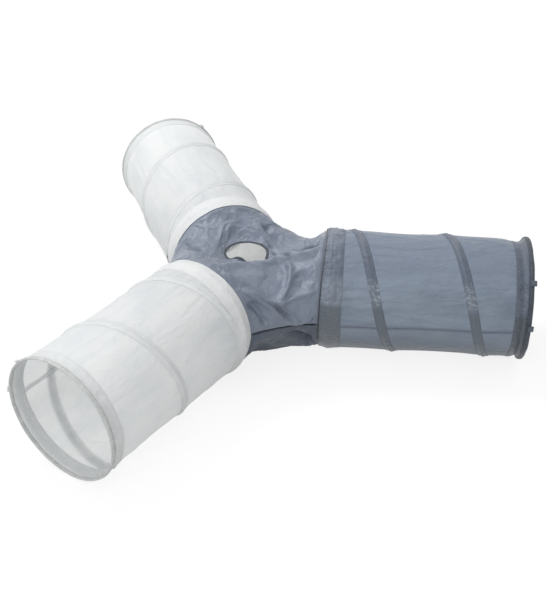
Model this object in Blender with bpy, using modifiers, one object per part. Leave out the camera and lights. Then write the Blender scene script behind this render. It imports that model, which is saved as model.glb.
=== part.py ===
"""Three-way pop-up tunnel for cats and small dogs.

Three fabric sleeves on sprung wire coils meet in a soft hub with a peephole in its top.
Metres, +Z up. The origin is on the floor under the middle of the hub.
"""

import math
from collections import namedtuple

import bmesh
import bpy
from mathutils import Matrix, Vector

# Driving sizes, in metres and degrees. An arm's heading is from +X, its cuff lies a way from
# the middle of the hub, and its length runs from the cuff to the mouth.
RIGHT_HEADING = 0.0
RIGHT_CUFF_AT = 0.161
RIGHT_LENGTH = 0.409
BACK_HEADING = 115.4
BACK_CUFF_AT = 0.123
BACK_LENGTH = 0.471
FRONT_HEADING = 240.1
FRONT_CUFF_AT = 0.145
FRONT_LENGTH = 0.391
HOOP_RADIUS = 0.1235            # a hoop's wire centre, so the tunnel is 250 mm across
HOOP_WIRE_RADIUS = 0.0010
COIL_WIRE_RADIUS = 0.0010
HOOP_STEP = 0.0015              # the sleeve's cloth lies this far inside a hoop's centre
SLEEVE_CLOTH = 0.0008
BAND_CLOTH = 0.0008             # hems, cuffs, coil channels and tapes
HUB_CLOTH = 0.0010
GAP = 0.0003                    # between pieces that touch
HEM_WIDTH = 0.029
CUFF_WIDTH = 0.043
CUFF_TO_HOOP = 0.018            # the hub hoop lies this far in from the cuff's hub side
CUFF_CROWN = 0.0048             # the part of the cuff's width that rises over its hoop
PIPING_RADIUS = 0.0015
CHANNEL_WIDTH = 0.016           # along the sleeve
CHANNEL_CROWN = 0.0036          # the part of its width that rises over the wire
CROWN_FOOT = 1.6                # a crown's foot and flat top, as shares of its half width
CROWN_FLAT = 0.6
CROWN_FLAT_INSIDE = 0.8
COIL_TURNS = 2.2
RIGHT_COIL_START = -56.0        # degrees round the sleeve, 0 at its left side, 90 at its top
BACK_COIL_START = -78.0
FRONT_COIL_START = -56.0
SEAM_ANGLE = 184.0
SEAM_TAPE_WIDTH = 0.008
LOOP_ANGLES = (134.0, 175.0)    # the two ribbon loops of each mouth
LOOP_WIDTH = 0.010
LOOP_LAP = 0.008                # sewn on the hem
LOOP_REACH = 0.006              # past the rim
LOOP_HEIGHT = 0.0030
CUFF_TO_PIVOT = 0.023           # an arm swings about a point this far inside its cuff

# The hub's cloth.
COLLAR = 0.003                  # leaves each cuff straight for this far
HOLE_X = 0.003
HOLE_Y = 0.003
HOLE_RADIUS = 0.041
HOLE_DROP = 0.050               # the peephole's rim lies this far under the cuffs' tops
BINDING_WIDTH = 0.007
BINDING_THICKNESS = 0.0024
WELT_RADIUS = 0.0010
REAR_SAG = 0.052                # how far each crest sags from one arm to the next
LEFT_SAG = 0.034
FRONT_SAG = 0.035
REAR_TUCK = 0.020               # how far each lower half draws in under the seam
LEFT_TUCK = 0.018
FRONT_TUCK = 0.030
SIDE_PULL = 0.004               # the sides draw in this far at half height
SAG_POWER = 1.7                 # how sharply a sag or tuck gathers round its deepest place
TUCK_UP = 0.8                   # a tuck's rise and its draw inwards, as shares of its depth
TUCK_IN = 0.6
FLAT_FLOOR = 1.0 / 3.0          # the share of the way in at which the underside lies flat

# The faces of round pieces and of the hub's cloth.
FACETS = 24
WIRE_SIDES = 6
PIPING_SIDES = 8
COLUMNS = 12
ROWS = 6
TOP_ROWS = 4
LOOP_BENDS = 6
SHARP_ANGLE = 40.0

Arm = namedtuple("Arm", "name heading cuff_at length coil_start")
Side = namedtuple("Side", "name first second sag sag_at tuck tuck_at")

RIGHT = Arm("right", RIGHT_HEADING, RIGHT_CUFF_AT, RIGHT_LENGTH, RIGHT_COIL_START)
BACK = Arm("back", BACK_HEADING, BACK_CUFF_AT, BACK_LENGTH, BACK_COIL_START)
FRONT = Arm("front", FRONT_HEADING, FRONT_CUFF_AT, FRONT_LENGTH, FRONT_COIL_START)
# The hub's cloth from one arm to the next, with the share of the way at which its sag and
# its tuck are most.
SIDES = (
    Side("rear", RIGHT, BACK, REAR_SAG, 0.34, REAR_TUCK, 0.50),
    Side("left", BACK, FRONT, LEFT_SAG, 0.50, LEFT_TUCK, 0.50),
    Side("front", FRONT, RIGHT, FRONT_SAG, 0.56, FRONT_TUCK, 0.42),
)

# Radii and places that follow from them.
SLEEVE_OUTER = HOOP_RADIUS - HOOP_STEP
SLEEVE_INNER = SLEEVE_OUTER - SLEEVE_CLOTH
BAND_INNER = SLEEVE_INNER - GAP - BAND_CLOTH
BAND_OUTER = SLEEVE_OUTER + GAP + BAND_CLOTH
RIM_OUTER = HOOP_RADIUS + HOOP_WIRE_RADIUS + GAP + BAND_CLOTH
END_TO_HOOP = HOOP_WIRE_RADIUS + GAP + BAND_CLOTH
COIL_RADIUS = SLEEVE_OUTER + GAP + COIL_WIRE_RADIUS
CHANNEL_TOP = COIL_RADIUS + COIL_WIRE_RADIUS + GAP + BAND_CLOTH
AXIS_HEIGHT = max(RIM_OUTER, CHANNEL_TOP)
HUB_RADIUS = BAND_OUTER
HOLE_HEIGHT = AXIS_HEIGHT + HUB_RADIUS - HOLE_DROP
STEP = 360.0 / FACETS
TURN = 2.0 * math.pi
UP = Vector((0.0, 0.0, 1.0))


def cuff_end(arm):
    """Where the cuff's outer layer stops on the sleeve."""
    return arm.cuff_at + CUFF_WIDTH


def mouth(arm):
    """The rim's distance from the middle of the hub."""
    return arm.cuff_at + arm.length


def hem_start(arm):
    """Where the hem begins on the sleeve."""
    return mouth(arm) - HEM_WIDTH


def clear_scene():
    """Removes what a new file holds."""
    for obj in list(bpy.data.objects):
        bpy.data.objects.remove(obj, do_unlink=True)


def linear(channel):
    """A screen colour's channel, from 0 to 255, as linear light."""
    share = channel / 255.0
    return share / 12.92 if share <= 0.04045 else ((share + 0.055) / 1.055) ** 2.4


def finish(name, colour, roughness, metallic=0.0):
    """A plain material of a screen colour."""
    material = bpy.data.materials.new(name)
    material.use_nodes = True
    shader = material.node_tree.nodes["Principled BSDF"]
    shader.inputs["Base Color"].default_value = [linear(c) for c in colour] + [1.0]
    shader.inputs["Roughness"].default_value = roughness
    shader.inputs["Metallic"].default_value = metallic
    return material


def link(name, data, collection, material, parent=None, offset=0.0):
    """Puts a mesh or curve in the scene, on an arm's empty where it has one."""
    obj = bpy.data.objects.new(name, data)
    collection.objects.link(obj)
    if material is not None:
        data.materials.append(material)
    if parent is not None:
        obj.parent = parent
        obj.location = (0.0, 0.0, -offset)
    return obj


def facet_radius(radius, angle):
    """The radius at an angle of the polygon whose flats lie at a radius from its middle."""
    off = (angle + STEP / 2) % STEP - STEP / 2
    return radius / math.cos(math.radians(off))


def polar(radius, angle, along=0.0):
    """A point round an arm's axis, on a polygon with a flat at its lowest place."""
    around = math.radians(angle)
    reach = facet_radius(radius, angle)
    return Vector((reach * math.cos(around), reach * math.sin(around), along))


def corner(index):
    """The angle of a corner of that polygon."""
    return (index + 0.5) * STEP


def on_flat(radius, angle):
    """A place on that polygon's flat nearest to an angle, with its outward and level ways."""
    flat = math.radians(round(angle / STEP) * STEP)
    out = Vector((math.cos(flat), math.sin(flat), 0.0))
    across = UP.cross(out)
    shift = radius * math.tan(math.radians(angle) - flat)
    return out * radius + across * shift, out, across


def shade(mesh):
    """Smooth round faces with sharp edges left sharp."""
    mesh.shade_smooth()
    mesh.set_sharp_from_angle(angle=math.radians(SHARP_ANGLE))


def turned(name, outline, collection, material, parent, offset):
    """A closed outline of (radius, along) points, its outer side first and inwards, turned."""
    mesh = bpy.data.meshes.new(name)
    points = [polar(radius, corner(0), along) for radius, along in outline]
    count = len(points)
    mesh.from_pydata(points, [(i, (i + 1) % count) for i in range(count)], [])
    obj = link(name, mesh, collection, material, parent, offset)
    screw = obj.modifiers.new("turn", "SCREW")
    screw.steps = FACETS
    screw.render_steps = FACETS
    screw.use_merge_vertices = True
    screw.merge_threshold = 0.00001
    return obj


def wire(name, points, radius, sides, collection, material, parent, offset, closed=False):
    """A wire or cord through points, round with a number of sides."""
    curve = bpy.data.curves.new(name, "CURVE")
    curve.dimensions = "3D"
    curve.bevel_depth = radius
    curve.bevel_resolution = round(sides / 2) - 2
    curve.use_fill_caps = True
    spline = curve.splines.new("POLY")
    spline.points.add(len(points) - 1)
    for point, place in zip(spline.points, points):
        point.co = (*place, 1.0)
    spline.use_cyclic_u = closed
    return link(name, curve, collection, material, parent, offset)


def hoop(name, radius, along, wire_radius, sides, collection, material, parent, offset):
    """A closed ring of wire or piping."""
    points = [polar(radius, corner(i), along) for i in range(FACETS)]
    return wire(name, points, wire_radius, sides, collection, material, parent, offset, True)


def coil_angle(arm, along):
    """The angle at which the coil passes a place along the sleeve."""
    return arm.coil_start + 360.0 * COIL_TURNS * (along - arm.cuff_at) / arm.length


def coil_place(arm, angle):
    """How far along the sleeve the coil is at an angle."""
    return arm.cuff_at + arm.length * (angle - arm.coil_start) / (360.0 * COIL_TURNS)


def coil_points(arm):
    """The coil's wire, from the cuff's edge to the hem's."""
    clear = COIL_WIRE_RADIUS + GAP
    first = coil_angle(arm, cuff_end(arm) + clear)
    last = coil_angle(arm, hem_start(arm) - clear)
    low = math.ceil(first / STEP - 0.5)
    high = math.floor(last / STEP - 0.5)
    corners = [corner(i) for i in range(low, high + 1)]
    angles = [first, *(c for c in corners if first + 1.0 < c < last - 1.0), last]
    return [polar(COIL_RADIUS, angle, coil_place(arm, angle)) for angle in angles]


def coil_gap(arm):
    """The least gap between a turn of the coil and the next, measured on its points."""
    points = coil_points(arm)
    least = math.inf
    for i, point in enumerate(points):
        for other in points[i + FACETS // 2:]:
            least = min(least, (point - other).length - 2 * COIL_WIRE_RADIUS)
    return least


def crown_outlines(width, top, middle=0.0):
    """A tape's faces where it rises over a wire, outer and inner, as (radius, along) points."""
    outside = width / 2
    inside = outside - BAND_CLOTH / 2
    low = SLEEVE_OUTER + GAP
    raised = low + BAND_CLOTH
    foot, flat = CROWN_FOOT * outside, CROWN_FLAT * outside
    foot_inside, flat_inside = CROWN_FOOT * inside, CROWN_FLAT_INSIDE * inside
    under = top - BAND_CLOTH
    outer = [(raised, middle + foot), (top, middle + flat), (top, middle - flat),
             (raised, middle - foot)]
    inner = [(low, middle - foot_inside), (under, middle - flat_inside),
             (under, middle + flat_inside), (low, middle + foot_inside)]
    return outer, inner


def channel_outline():
    """The channel's section over the wire, as (radius, along) points."""
    half = CHANNEL_WIDTH / 2
    low = SLEEVE_OUTER + GAP
    raised = low + BAND_CLOTH
    outer, inner = crown_outlines(CHANNEL_CROWN, CHANNEL_TOP)
    return [(raised, half), *outer, (raised, -half), (low, -half), *inner, (low, half)]


def coil_channel(arm, collection, cutters, material, parent, offset):
    """The tape sewn over the coil, cut square by the cuff's edge and the hem's."""
    start, end = cuff_end(arm) + GAP, hem_start(arm) - GAP
    first = math.floor(coil_angle(arm, start - CHANNEL_WIDTH / 2) / STEP - 0.5)
    last = math.ceil(coil_angle(arm, end + CHANNEL_WIDTH / 2) / STEP - 0.5)
    shape = bmesh.new()
    base = corner(first)
    ring = [
        shape.verts.new(polar(radius, base, along + coil_place(arm, base)))
        for radius, along in channel_outline()
    ]
    face = shape.faces.new(ring)
    steps = last - first
    rise = arm.length * STEP / (360.0 * COIL_TURNS)
    bmesh.ops.spin(
        shape, geom=[face, *face.edges, *face.verts], cent=(0, 0, 0), axis=(0, 0, 1),
        dvec=(0, 0, rise), angle=math.radians(STEP * steps), steps=steps,
    )
    bmesh.ops.recalc_face_normals(shape, faces=shape.faces)
    name = f"{arm.name}_coil_channel"
    mesh = bpy.data.meshes.new(name)
    shape.to_mesh(mesh)
    shape.free()
    obj = link(name, mesh, collection, material, parent, offset)
    keep = bmesh.new()
    bmesh.ops.create_cone(
        keep, cap_ends=True, segments=FACETS, depth=end - start,
        radius1=2 * HOOP_RADIUS, radius2=2 * HOOP_RADIUS,
        matrix=Matrix.Translation((0, 0, (start + end) / 2)),
    )
    block = bpy.data.meshes.new(f"{name}_length")
    keep.to_mesh(block)
    keep.free()
    cutter = link(f"{name}_length", block, cutters, None, parent, offset)
    cutter.hide_render = True
    cutter.display_type = "WIRE"
    trim = obj.modifiers.new("trim", "BOOLEAN")
    trim.operation = "INTERSECT"
    trim.object = cutter
    trim.solver = "EXACT"


def ribbon_loop(name, angle, collection, material, parent):
    """A folded ribbon sewn on the hem, whose fold stands past the rim."""
    radius = LOOP_HEIGHT / 2
    inner = radius - BAND_CLOTH
    outline = [(-LOOP_LAP, 0.0)]
    for i in range(LOOP_BENDS + 1):
        turn = math.pi * (i / LOOP_BENDS - 0.5)
        outline.append((LOOP_REACH - radius + radius * math.cos(turn),
                        radius + radius * math.sin(turn)))
    outline.append((-LOOP_LAP, LOOP_HEIGHT))
    outline.append((-LOOP_LAP, LOOP_HEIGHT - BAND_CLOTH))
    for i in range(LOOP_BENDS + 1):
        turn = math.pi * (0.5 - i / LOOP_BENDS)
        outline.append((LOOP_REACH - radius + inner * math.cos(turn),
                        radius + inner * math.sin(turn)))
    outline.append((-LOOP_LAP, BAND_CLOTH))
    curve = bpy.data.curves.new(name, "CURVE")
    curve.dimensions = "2D"
    curve.fill_mode = "BOTH"
    curve.extrude = LOOP_WIDTH / 2
    spline = curve.splines.new("POLY")
    spline.points.add(len(outline) - 1)
    for point, (along, out) in zip(spline.points, outline):
        point.co = (along, out, 0.0, 1.0)
    spline.use_cyclic_u = True
    obj = link(name, curve, collection, material, parent)
    # It leans out as the hem does.
    place, radial, across = on_flat(RIM_OUTER + GAP, angle)
    lean = math.atan2(RIM_OUTER - BAND_OUTER, HEM_WIDTH)
    along = UP * math.cos(lean) + radial * math.sin(lean)
    out = radial * math.cos(lean) - UP * math.sin(lean)
    turn = Matrix((along, out, -across)).transposed().to_4x4()
    obj.matrix_local = Matrix.Translation(place) @ turn
    return obj


def arm_empties(arm, collection):
    """The arm's swing pivot and its mouth's slide, as empties with Z out along the arm."""
    heading = math.radians(arm.heading)
    along = Vector((math.cos(heading), math.sin(heading), 0.0))
    left = UP.cross(along)
    turn = Matrix((left, UP, along)).transposed().to_4x4()
    pivot = bpy.data.objects.new(f"{arm.name}_swing_pivot", None)
    collection.objects.link(pivot)
    reach = arm.cuff_at - CUFF_TO_PIVOT
    pivot.matrix_world = Matrix.Translation(along * reach + UP * AXIS_HEIGHT) @ turn
    slide = bpy.data.objects.new(f"{arm.name}_mouth_slide", None)
    collection.objects.link(slide)
    slide.parent = pivot
    slide.location = (0.0, 0.0, mouth(arm) - reach)
    return pivot, slide, reach


def hem(name, end, *place):
    """A folded band round the sleeve's mouth, a U section whose fold holds the mouth hoop."""
    edge, fold = end - HEM_WIDTH, end - BAND_CLOTH
    outline = [
        (RIM_OUTER, end), (BAND_OUTER, edge), (BAND_OUTER - BAND_CLOTH, edge),
        (RIM_OUTER - BAND_CLOTH, fold), (BAND_INNER + BAND_CLOTH, fold),
        (BAND_INNER + BAND_CLOTH, edge), (BAND_INNER, edge), (BAND_INNER, end),
    ]
    return turned(name, outline, *place)


def cuff(name, start, *place):
    """A band folded over the sleeve's hub side, whose outer layer rises over the hub hoop."""
    edge, fold = start + CUFF_WIDTH, start + BAND_CLOTH
    low = SLEEVE_OUTER + GAP
    outer, inner = crown_outlines(CUFF_CROWN, RIM_OUTER, start + CUFF_TO_HOOP)
    outline = [
        (BAND_OUTER, edge), *outer, (BAND_OUTER, start), (BAND_INNER, start),
        (BAND_INNER, edge), (BAND_INNER + BAND_CLOTH, edge), (BAND_INNER + BAND_CLOTH, fold),
        (low, fold), *inner, (low, edge),
    ]
    return turned(name, outline, *place)


def seam_tape(arm, collection, material, parent, offset):
    """The straight tape inside the sleeve along its seam, from the cuff to the hem."""
    name = f"{arm.name}_seam_tape"
    start, end = cuff_end(arm) + GAP, hem_start(arm) - GAP
    shape = bmesh.new()
    bmesh.ops.create_cube(shape, size=1.0)
    bmesh.ops.scale(shape, vec=(BAND_CLOTH, SEAM_TAPE_WIDTH, end - start), verts=shape.verts)
    mesh = bpy.data.meshes.new(name)
    shape.to_mesh(mesh)
    shape.free()
    obj = link(name, mesh, collection, material, parent)
    place, out, across = on_flat(SLEEVE_INNER - GAP - BAND_CLOTH / 2, SEAM_ANGLE)
    obj.location = place + UP * ((start + end) / 2 - offset)
    obj.rotation_euler = (0.0, 0.0, math.atan2(out.y, out.x))


def build_arm(arm, collection, cutters, cloth, trim, steel):
    """One arm: sleeve, coil and channel, hub hoop and cuff, mouth hoop, hem and trim."""
    pivot, slide, reach = arm_empties(arm, collection)
    here = (collection, cloth, pivot, reach)
    trimmed = (collection, trim, pivot, reach)
    sprung = (collection, steel, pivot, reach)
    start = arm.cuff_at + BAND_CLOTH + GAP
    end = mouth(arm) - END_TO_HOOP - HOOP_WIRE_RADIUS - GAP
    sleeve = [(SLEEVE_OUTER, end), (SLEEVE_OUTER, start), (SLEEVE_INNER, start),
              (SLEEVE_INNER, end)]
    turned(f"{arm.name}_sleeve", sleeve, *here)
    hoop(f"{arm.name}_hub_hoop", HOOP_RADIUS, arm.cuff_at + CUFF_TO_HOOP, HOOP_WIRE_RADIUS,
         WIRE_SIDES, *sprung)
    cuff(f"{arm.name}_cuff", arm.cuff_at, *trimmed)
    wire(f"{arm.name}_coil_wire", coil_points(arm), COIL_WIRE_RADIUS, WIRE_SIDES, *sprung)
    coil_channel(arm, collection, cutters, trim, pivot, reach)
    print(f"{arm.name} coil: least gap to itself {coil_gap(arm) * 1000:.1f} mm")
    seam_tape(arm, *trimmed)

    hoop(f"{arm.name}_mouth_hoop", HOOP_RADIUS, -END_TO_HOOP, HOOP_WIRE_RADIUS, WIRE_SIDES,
         collection, steel, slide, 0.0)
    hem(f"{arm.name}_mouth_hem", 0.0, collection, trim, slide, 0.0)
    hoop(f"{arm.name}_rim_piping", RIM_OUTER - PIPING_RADIUS, GAP + PIPING_RADIUS,
         PIPING_RADIUS, PIPING_SIDES, collection, trim, slide, 0.0)
    for index, angle in enumerate(LOOP_ANGLES, start=1):
        ribbon_loop(f"{arm.name}_rim_loop_{index}", angle, collection, trim, slide)


def ring_point(arm, angle, inside):
    """A point of the hub's cloth round an arm's cuff, a given way inside the cuff's face."""
    heading = math.radians(arm.heading)
    along = Vector((math.cos(heading), math.sin(heading), 0.0))
    left = UP.cross(along)
    around = math.radians(angle)
    reach = arm.cuff_at - GAP - inside
    return (along * reach + UP * AXIS_HEIGHT
            + (left * math.cos(around) + UP * math.sin(around)) * HUB_RADIUS)


def bump(share, peak):
    """From 0 at both ends to 1 at the peak."""
    share = min(1.0, max(0.0, share))
    warped = share ** (math.log(0.5) / math.log(peak))
    return max(0.0, math.sin(math.pi * warped)) ** SAG_POWER


def outward(side):
    """The level direction in which a side of the hub faces."""
    middle = ring_point(side.first, 0.0, COLLAR) + ring_point(side.second, 180.0, COLLAR)
    return Vector((middle.x, middle.y, 0.0)).normalized()


def side_point(side, down, across):
    """The hub's cloth between two cuffs: down from 0 at their tops to 1 at their lowest."""
    first = ring_point(side.first, 90.0 - 180.0 * down, COLLAR)
    second = ring_point(side.second, 90.0 + 180.0 * down, COLLAR)
    point = first.lerp(second, across)
    share = bump(across, side.sag_at)
    out = outward(side)
    point -= out * SIDE_PULL * share * math.sin(math.pi * down) ** 2
    if down < 0.5:
        return point - UP * side.sag * share * math.cos(math.pi * down) ** 2
    tuck = side.tuck * bump(across, side.tuck_at) * math.sin(TURN * (down - 0.5)) ** 2
    return point + (UP * TUCK_UP - out * TUCK_IN) * tuck


def side_columns(side, down):
    """A row of the side's points, with the collar's edge at each cuff."""
    row = [ring_point(side.first, 90.0 - 180.0 * down, 0.0)]
    row += [side_point(side, down, i / COLUMNS) for i in range(COLUMNS + 1)]
    row.append(ring_point(side.second, 90.0 + 180.0 * down, 0.0))
    return row


def smooth(share):
    """From 0 to 1, level at both ends."""
    return share * share * (3.0 - 2.0 * share)


def hole_edge(side):
    """The upper cover's edge round the peephole, evenly spaced from one arm to the next."""
    first = ring_point(side.first, 90.0, COLLAR) - Vector((HOLE_X, HOLE_Y, 0.0))
    second = ring_point(side.second, 90.0, COLLAR) - Vector((HOLE_X, HOLE_Y, 0.0))
    start = math.atan2(first.y, first.x)
    sweep = (math.atan2(second.y, second.x) - start) % TURN
    radius = (HOLE_RADIUS + BINDING_WIDTH + GAP) / math.cos(sweep / COLUMNS / 2)
    angles = [start + sweep * i / COLUMNS for i in range(COLUMNS + 1)]
    return [Vector((HOLE_X + radius * math.cos(a), HOLE_Y + radius * math.sin(a),
                    HOLE_HEIGHT)) for a in angles]


def top_point(crest, edge, share):
    """From a side's crest, share 0, in to the peephole's edge, share 1."""
    point = crest.lerp(edge, share)
    point.z = crest.z + (edge.z - crest.z) * smooth(share)
    return point


def floor_point(edge, share):
    """From a side's lowest line, share 0, in to the middle of the floor, share 1."""
    point = edge.lerp(Vector((0.0, 0.0, 0.0)), share)
    point.z = edge.z * (1.0 - smooth(min(1.0, share / FLAT_FLOOR)))
    return point


def cover(name, rows_of_side, collection, material):
    """A closed cloth shell from rows of points for each side, its outer face as given."""
    shape = bmesh.new()
    for side in SIDES:
        rows = [[shape.verts.new(point) for point in row] for row in rows_of_side(side)]
        for upper, lower in zip(rows, rows[1:]):
            # A row without the collar's edges is two points shorter than its neighbour.
            skip_u = 1 if len(upper) > len(lower) else 0
            skip_l = 1 if len(lower) > len(upper) else 0
            for i in range(min(len(upper), len(lower)) - 1):
                shape.faces.new((upper[i + skip_u], lower[i + skip_l],
                                 lower[i + 1 + skip_l], upper[i + 1 + skip_u]))
    bmesh.ops.remove_doubles(shape, verts=shape.verts, dist=0.00001)
    bmesh.ops.recalc_face_normals(shape, faces=shape.faces)
    middle = Vector((0.0, 0.0, AXIS_HEIGHT))
    outer = max(shape.faces, key=lambda f: (f.calc_center_median() - middle).length)
    if outer.normal.dot(outer.calc_center_median() - middle) < 0:
        bmesh.ops.reverse_faces(shape, faces=shape.faces)
    mesh = bpy.data.meshes.new(name)
    shape.to_mesh(mesh)
    shape.free()
    obj = link(name, mesh, collection, material)
    wall = obj.modifiers.new("cloth", "SOLIDIFY")
    wall.thickness = HUB_CLOTH
    wall.offset = -1.0
    shade(mesh)
    return obj


def seam_share():
    """How far a cover's edge stays off the seam's line, as a share of the way down."""
    return (WELT_RADIUS + GAP) / (math.pi * HUB_RADIUS)


def upper_rows(side):
    """The upper cover: from the peephole out to the crest, then down to the seam."""
    crest = [side_point(side, 0.0, i / COLUMNS) for i in range(COLUMNS + 1)]
    pairs = list(zip(crest, hole_edge(side)))
    rows = [[top_point(p, e, 1.0 - k / TOP_ROWS) for p, e in pairs] for k in range(TOP_ROWS)]
    last = 0.5 - seam_share()
    rows += [side_columns(side, last * k / ROWS) for k in range(ROWS + 1)]
    return rows


def lower_rows(side):
    """The lower cover: from the seam down and in to the middle of the floor."""
    first = 0.5 + seam_share()
    rows = [side_columns(side, first + (1.0 - first) * k / ROWS) for k in range(ROWS + 1)]
    edge = [side_point(side, 1.0, i / COLUMNS) for i in range(COLUMNS + 1)]
    rows += [[floor_point(p, k / TOP_ROWS) for p in edge] for k in range(1, TOP_ROWS + 1)]
    return rows


def build_hub(collection, cloth, trim):
    """The hub: upper and lower covers, the welts between them and the peephole's binding."""
    cover("hub_upper_cover", upper_rows, collection, cloth)
    cover("hub_lower_cover", lower_rows, collection, cloth)
    for side in SIDES:
        inset = outward(side) * (HUB_CLOTH / 2)
        points = [point - inset for point in side_columns(side, 0.5)]
        wire(f"hub_{side.name}_welt", points, WELT_RADIUS, WIRE_SIDES, collection, trim,
             None, 0.0)
    # Its corners, not its flats, lie on the outer radius.
    outer = (HOLE_RADIUS + BINDING_WIDTH) * math.cos(math.radians(STEP / 2))
    inner = outer - BINDING_WIDTH
    half, edge = BINDING_THICKNESS / 2, BINDING_THICKNESS / 4
    outline = [(outer, edge), (outer, -edge), (outer - edge, -half), (inner + edge, -half),
               (inner, -edge), (inner, edge), (inner + edge, half), (outer - edge, half)]
    ring = turned("hub_peephole_binding", outline, collection, trim, None, 0.0)
    ring.location = (HOLE_X, HOLE_Y, HOLE_HEIGHT - HUB_CLOTH / 2)


def main():
    """Builds the whole tunnel."""
    clear_scene()
    parts = bpy.data.collections.new("three_way_tunnel")
    cutters = bpy.data.collections.new("cutters")
    for collection in (parts, cutters):
        bpy.context.scene.collection.children.link(collection)
    white = finish("white_cloth", (222, 225, 226), 0.75)
    white_trim = finish("white_trim", (205, 210, 212), 0.8)
    blue = finish("blue_grey_cloth", (122, 133, 147), 0.7)
    blue_trim = finish("blue_grey_trim", (106, 116, 130), 0.7)
    hub_cloth = finish("hub_taffeta", (128, 140, 153), 0.5)
    hub_trim = finish("dark_grey_binding", (72, 80, 90), 0.7)
    steel = finish("spring_steel", (150, 150, 155), 0.35, 1.0)
    build_hub(parts, hub_cloth, hub_trim)
    finishes = {
        RIGHT: (blue, blue_trim),
        BACK: (white, white_trim),
        FRONT: (white, white_trim),
    }
    for arm, (cloth, tape) in finishes.items():
        build_arm(arm, parts, cutters, cloth, tape, steel)


main()
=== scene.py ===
"""Three-way pop-up play tunnel for cats and small dogs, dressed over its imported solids.

Three fabric arms on sprung wire coils meet in a soft hub with a peephole in its top. Each piece
of cloth is cut flat, folded, and rolled round its arm, as the real one is sewn. Metres, +Z up.
"""

from __future__ import annotations

import logging
import math
from contextlib import contextmanager
from dataclasses import dataclass, field
from enum import Enum
from typing import Callable, Iterator, Sequence

import bpy
import numpy as np
from mathutils import Matrix, Vector


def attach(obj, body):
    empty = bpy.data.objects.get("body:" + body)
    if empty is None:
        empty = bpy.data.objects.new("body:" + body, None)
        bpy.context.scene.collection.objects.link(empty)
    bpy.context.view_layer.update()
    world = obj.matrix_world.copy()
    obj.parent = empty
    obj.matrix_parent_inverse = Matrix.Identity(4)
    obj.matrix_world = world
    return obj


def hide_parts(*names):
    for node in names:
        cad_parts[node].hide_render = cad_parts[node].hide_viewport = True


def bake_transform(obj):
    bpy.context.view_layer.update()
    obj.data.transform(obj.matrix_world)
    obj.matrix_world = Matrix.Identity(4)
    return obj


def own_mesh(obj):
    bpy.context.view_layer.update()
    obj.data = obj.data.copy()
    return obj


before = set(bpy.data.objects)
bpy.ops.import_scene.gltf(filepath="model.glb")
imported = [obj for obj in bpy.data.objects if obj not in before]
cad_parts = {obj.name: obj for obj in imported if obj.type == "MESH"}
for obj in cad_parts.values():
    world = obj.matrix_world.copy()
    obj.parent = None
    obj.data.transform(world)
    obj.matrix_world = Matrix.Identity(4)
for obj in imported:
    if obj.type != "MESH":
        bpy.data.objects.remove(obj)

log = logging.getLogger("tunnel")

Array = np.ndarray
Colour = tuple[int, int, int]
TURN = 2.0 * math.pi
UP = Vector((0.0, 0.0, 1.0))

# The solids' sizes, repeated from the part's source.
SLEEVE_OUTER = 0.1220
CLOTH = 0.0008
GAP = 0.0003
BAND_OUTER = SLEEVE_OUTER + GAP + CLOTH
HOOP_RADIUS = 0.1235
WIRE_RADIUS = 0.0010
COIL_RADIUS = SLEEVE_OUTER + GAP + WIRE_RADIUS
RIM_OUTER = 0.1256
AXIS_HEIGHT = RIM_OUTER
HEM_WIDTH = 0.029
CUFF_WIDTH = 0.043
CUFF_TO_HOOP = 0.018
END_TO_HOOP = 0.0021
CHANNEL_WIDTH = 0.020
COIL_TURNS = 2.2
SEAM_ANGLE = 184.0
LOOP_ANGLES = (134.0, 175.0)
SEAM_TAPE_WIDTH = 0.008

# What the cloth needs beside the solids. The collapsed sleeve keeps clear of the hem: it is
# split just inside it, and its channel ends short of it.
SPLIT_IN_HEM = 0.0008
CHANNEL_SHORT = 0.0010
SLEEVE_IN_CUFF = 0.0115
CUFF_OVER_EDGE = 1.04
SLEEVE_TO_RIM = 0.0034

# Tape and bands are thinner than their solids, and lie close on the sleeve at their edges.
TAPE = 0.0004
OVER = TAPE + 0.0001
UNDER = -CLOTH - 0.0001
HEM_OUTER = RIM_OUTER - 0.0009

# One degree round the sleeve, and from the coil's middle to the seams of its channel.
DEGREE_ROUND = math.radians(1.0) * SLEEVE_OUTER
CHANNEL_SEAM = 0.0080

# How long the faces of a fine sheet are.
FACE = 0.0031

# A stitch's half length, half width and half height, and the way from one to the next.
STITCH_LONG = 0.00115
STITCH_WIDE = 0.00030
STITCH_HIGH = 0.00024
STITCH_PITCH = 0.0031


class Dress(Enum):
    """The two colour schemes of the arms."""

    WHITE = "white"
    BLUE_GREY = "blue_grey"


# ---- Modelling by hand ------------------------------------------------------------------


def deselect_all() -> None:
    """Leaves nothing selected, in object mode."""
    if bpy.context.mode != "OBJECT":
        bpy.ops.object.mode_set(mode="OBJECT")
    bpy.ops.object.select_all(action="DESELECT")


def pick(obj: bpy.types.Object) -> None:
    """Makes one piece the selected and active one."""
    deselect_all()
    obj.select_set(True)
    bpy.context.view_layer.objects.active = obj


@contextmanager
def editing(obj: bpy.types.Object) -> Iterator[None]:
    """Edit mode on one piece, with all of it selected."""
    pick(obj)
    bpy.ops.object.mode_set(mode="EDIT")
    bpy.ops.mesh.select_all(action="SELECT")
    yield
    bpy.ops.object.mode_set(mode="OBJECT")


def read(
    items: bpy.types.bpy_prop_collection, key: str, width: int = 1, kind: type = float
) -> Array:
    """Reads one property of many items.

    Args:
        items: A mesh's vertices, faces or corners, or an attribute's data.
        key: The property.
        width: How many numbers it has.
        kind: Their type.

    Returns:
        The numbers, one row each where there are several.
    """
    values = np.empty(len(items) * width, kind)
    items.foreach_get(key, values)
    return values if width == 1 else values.reshape(-1, width)


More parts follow.
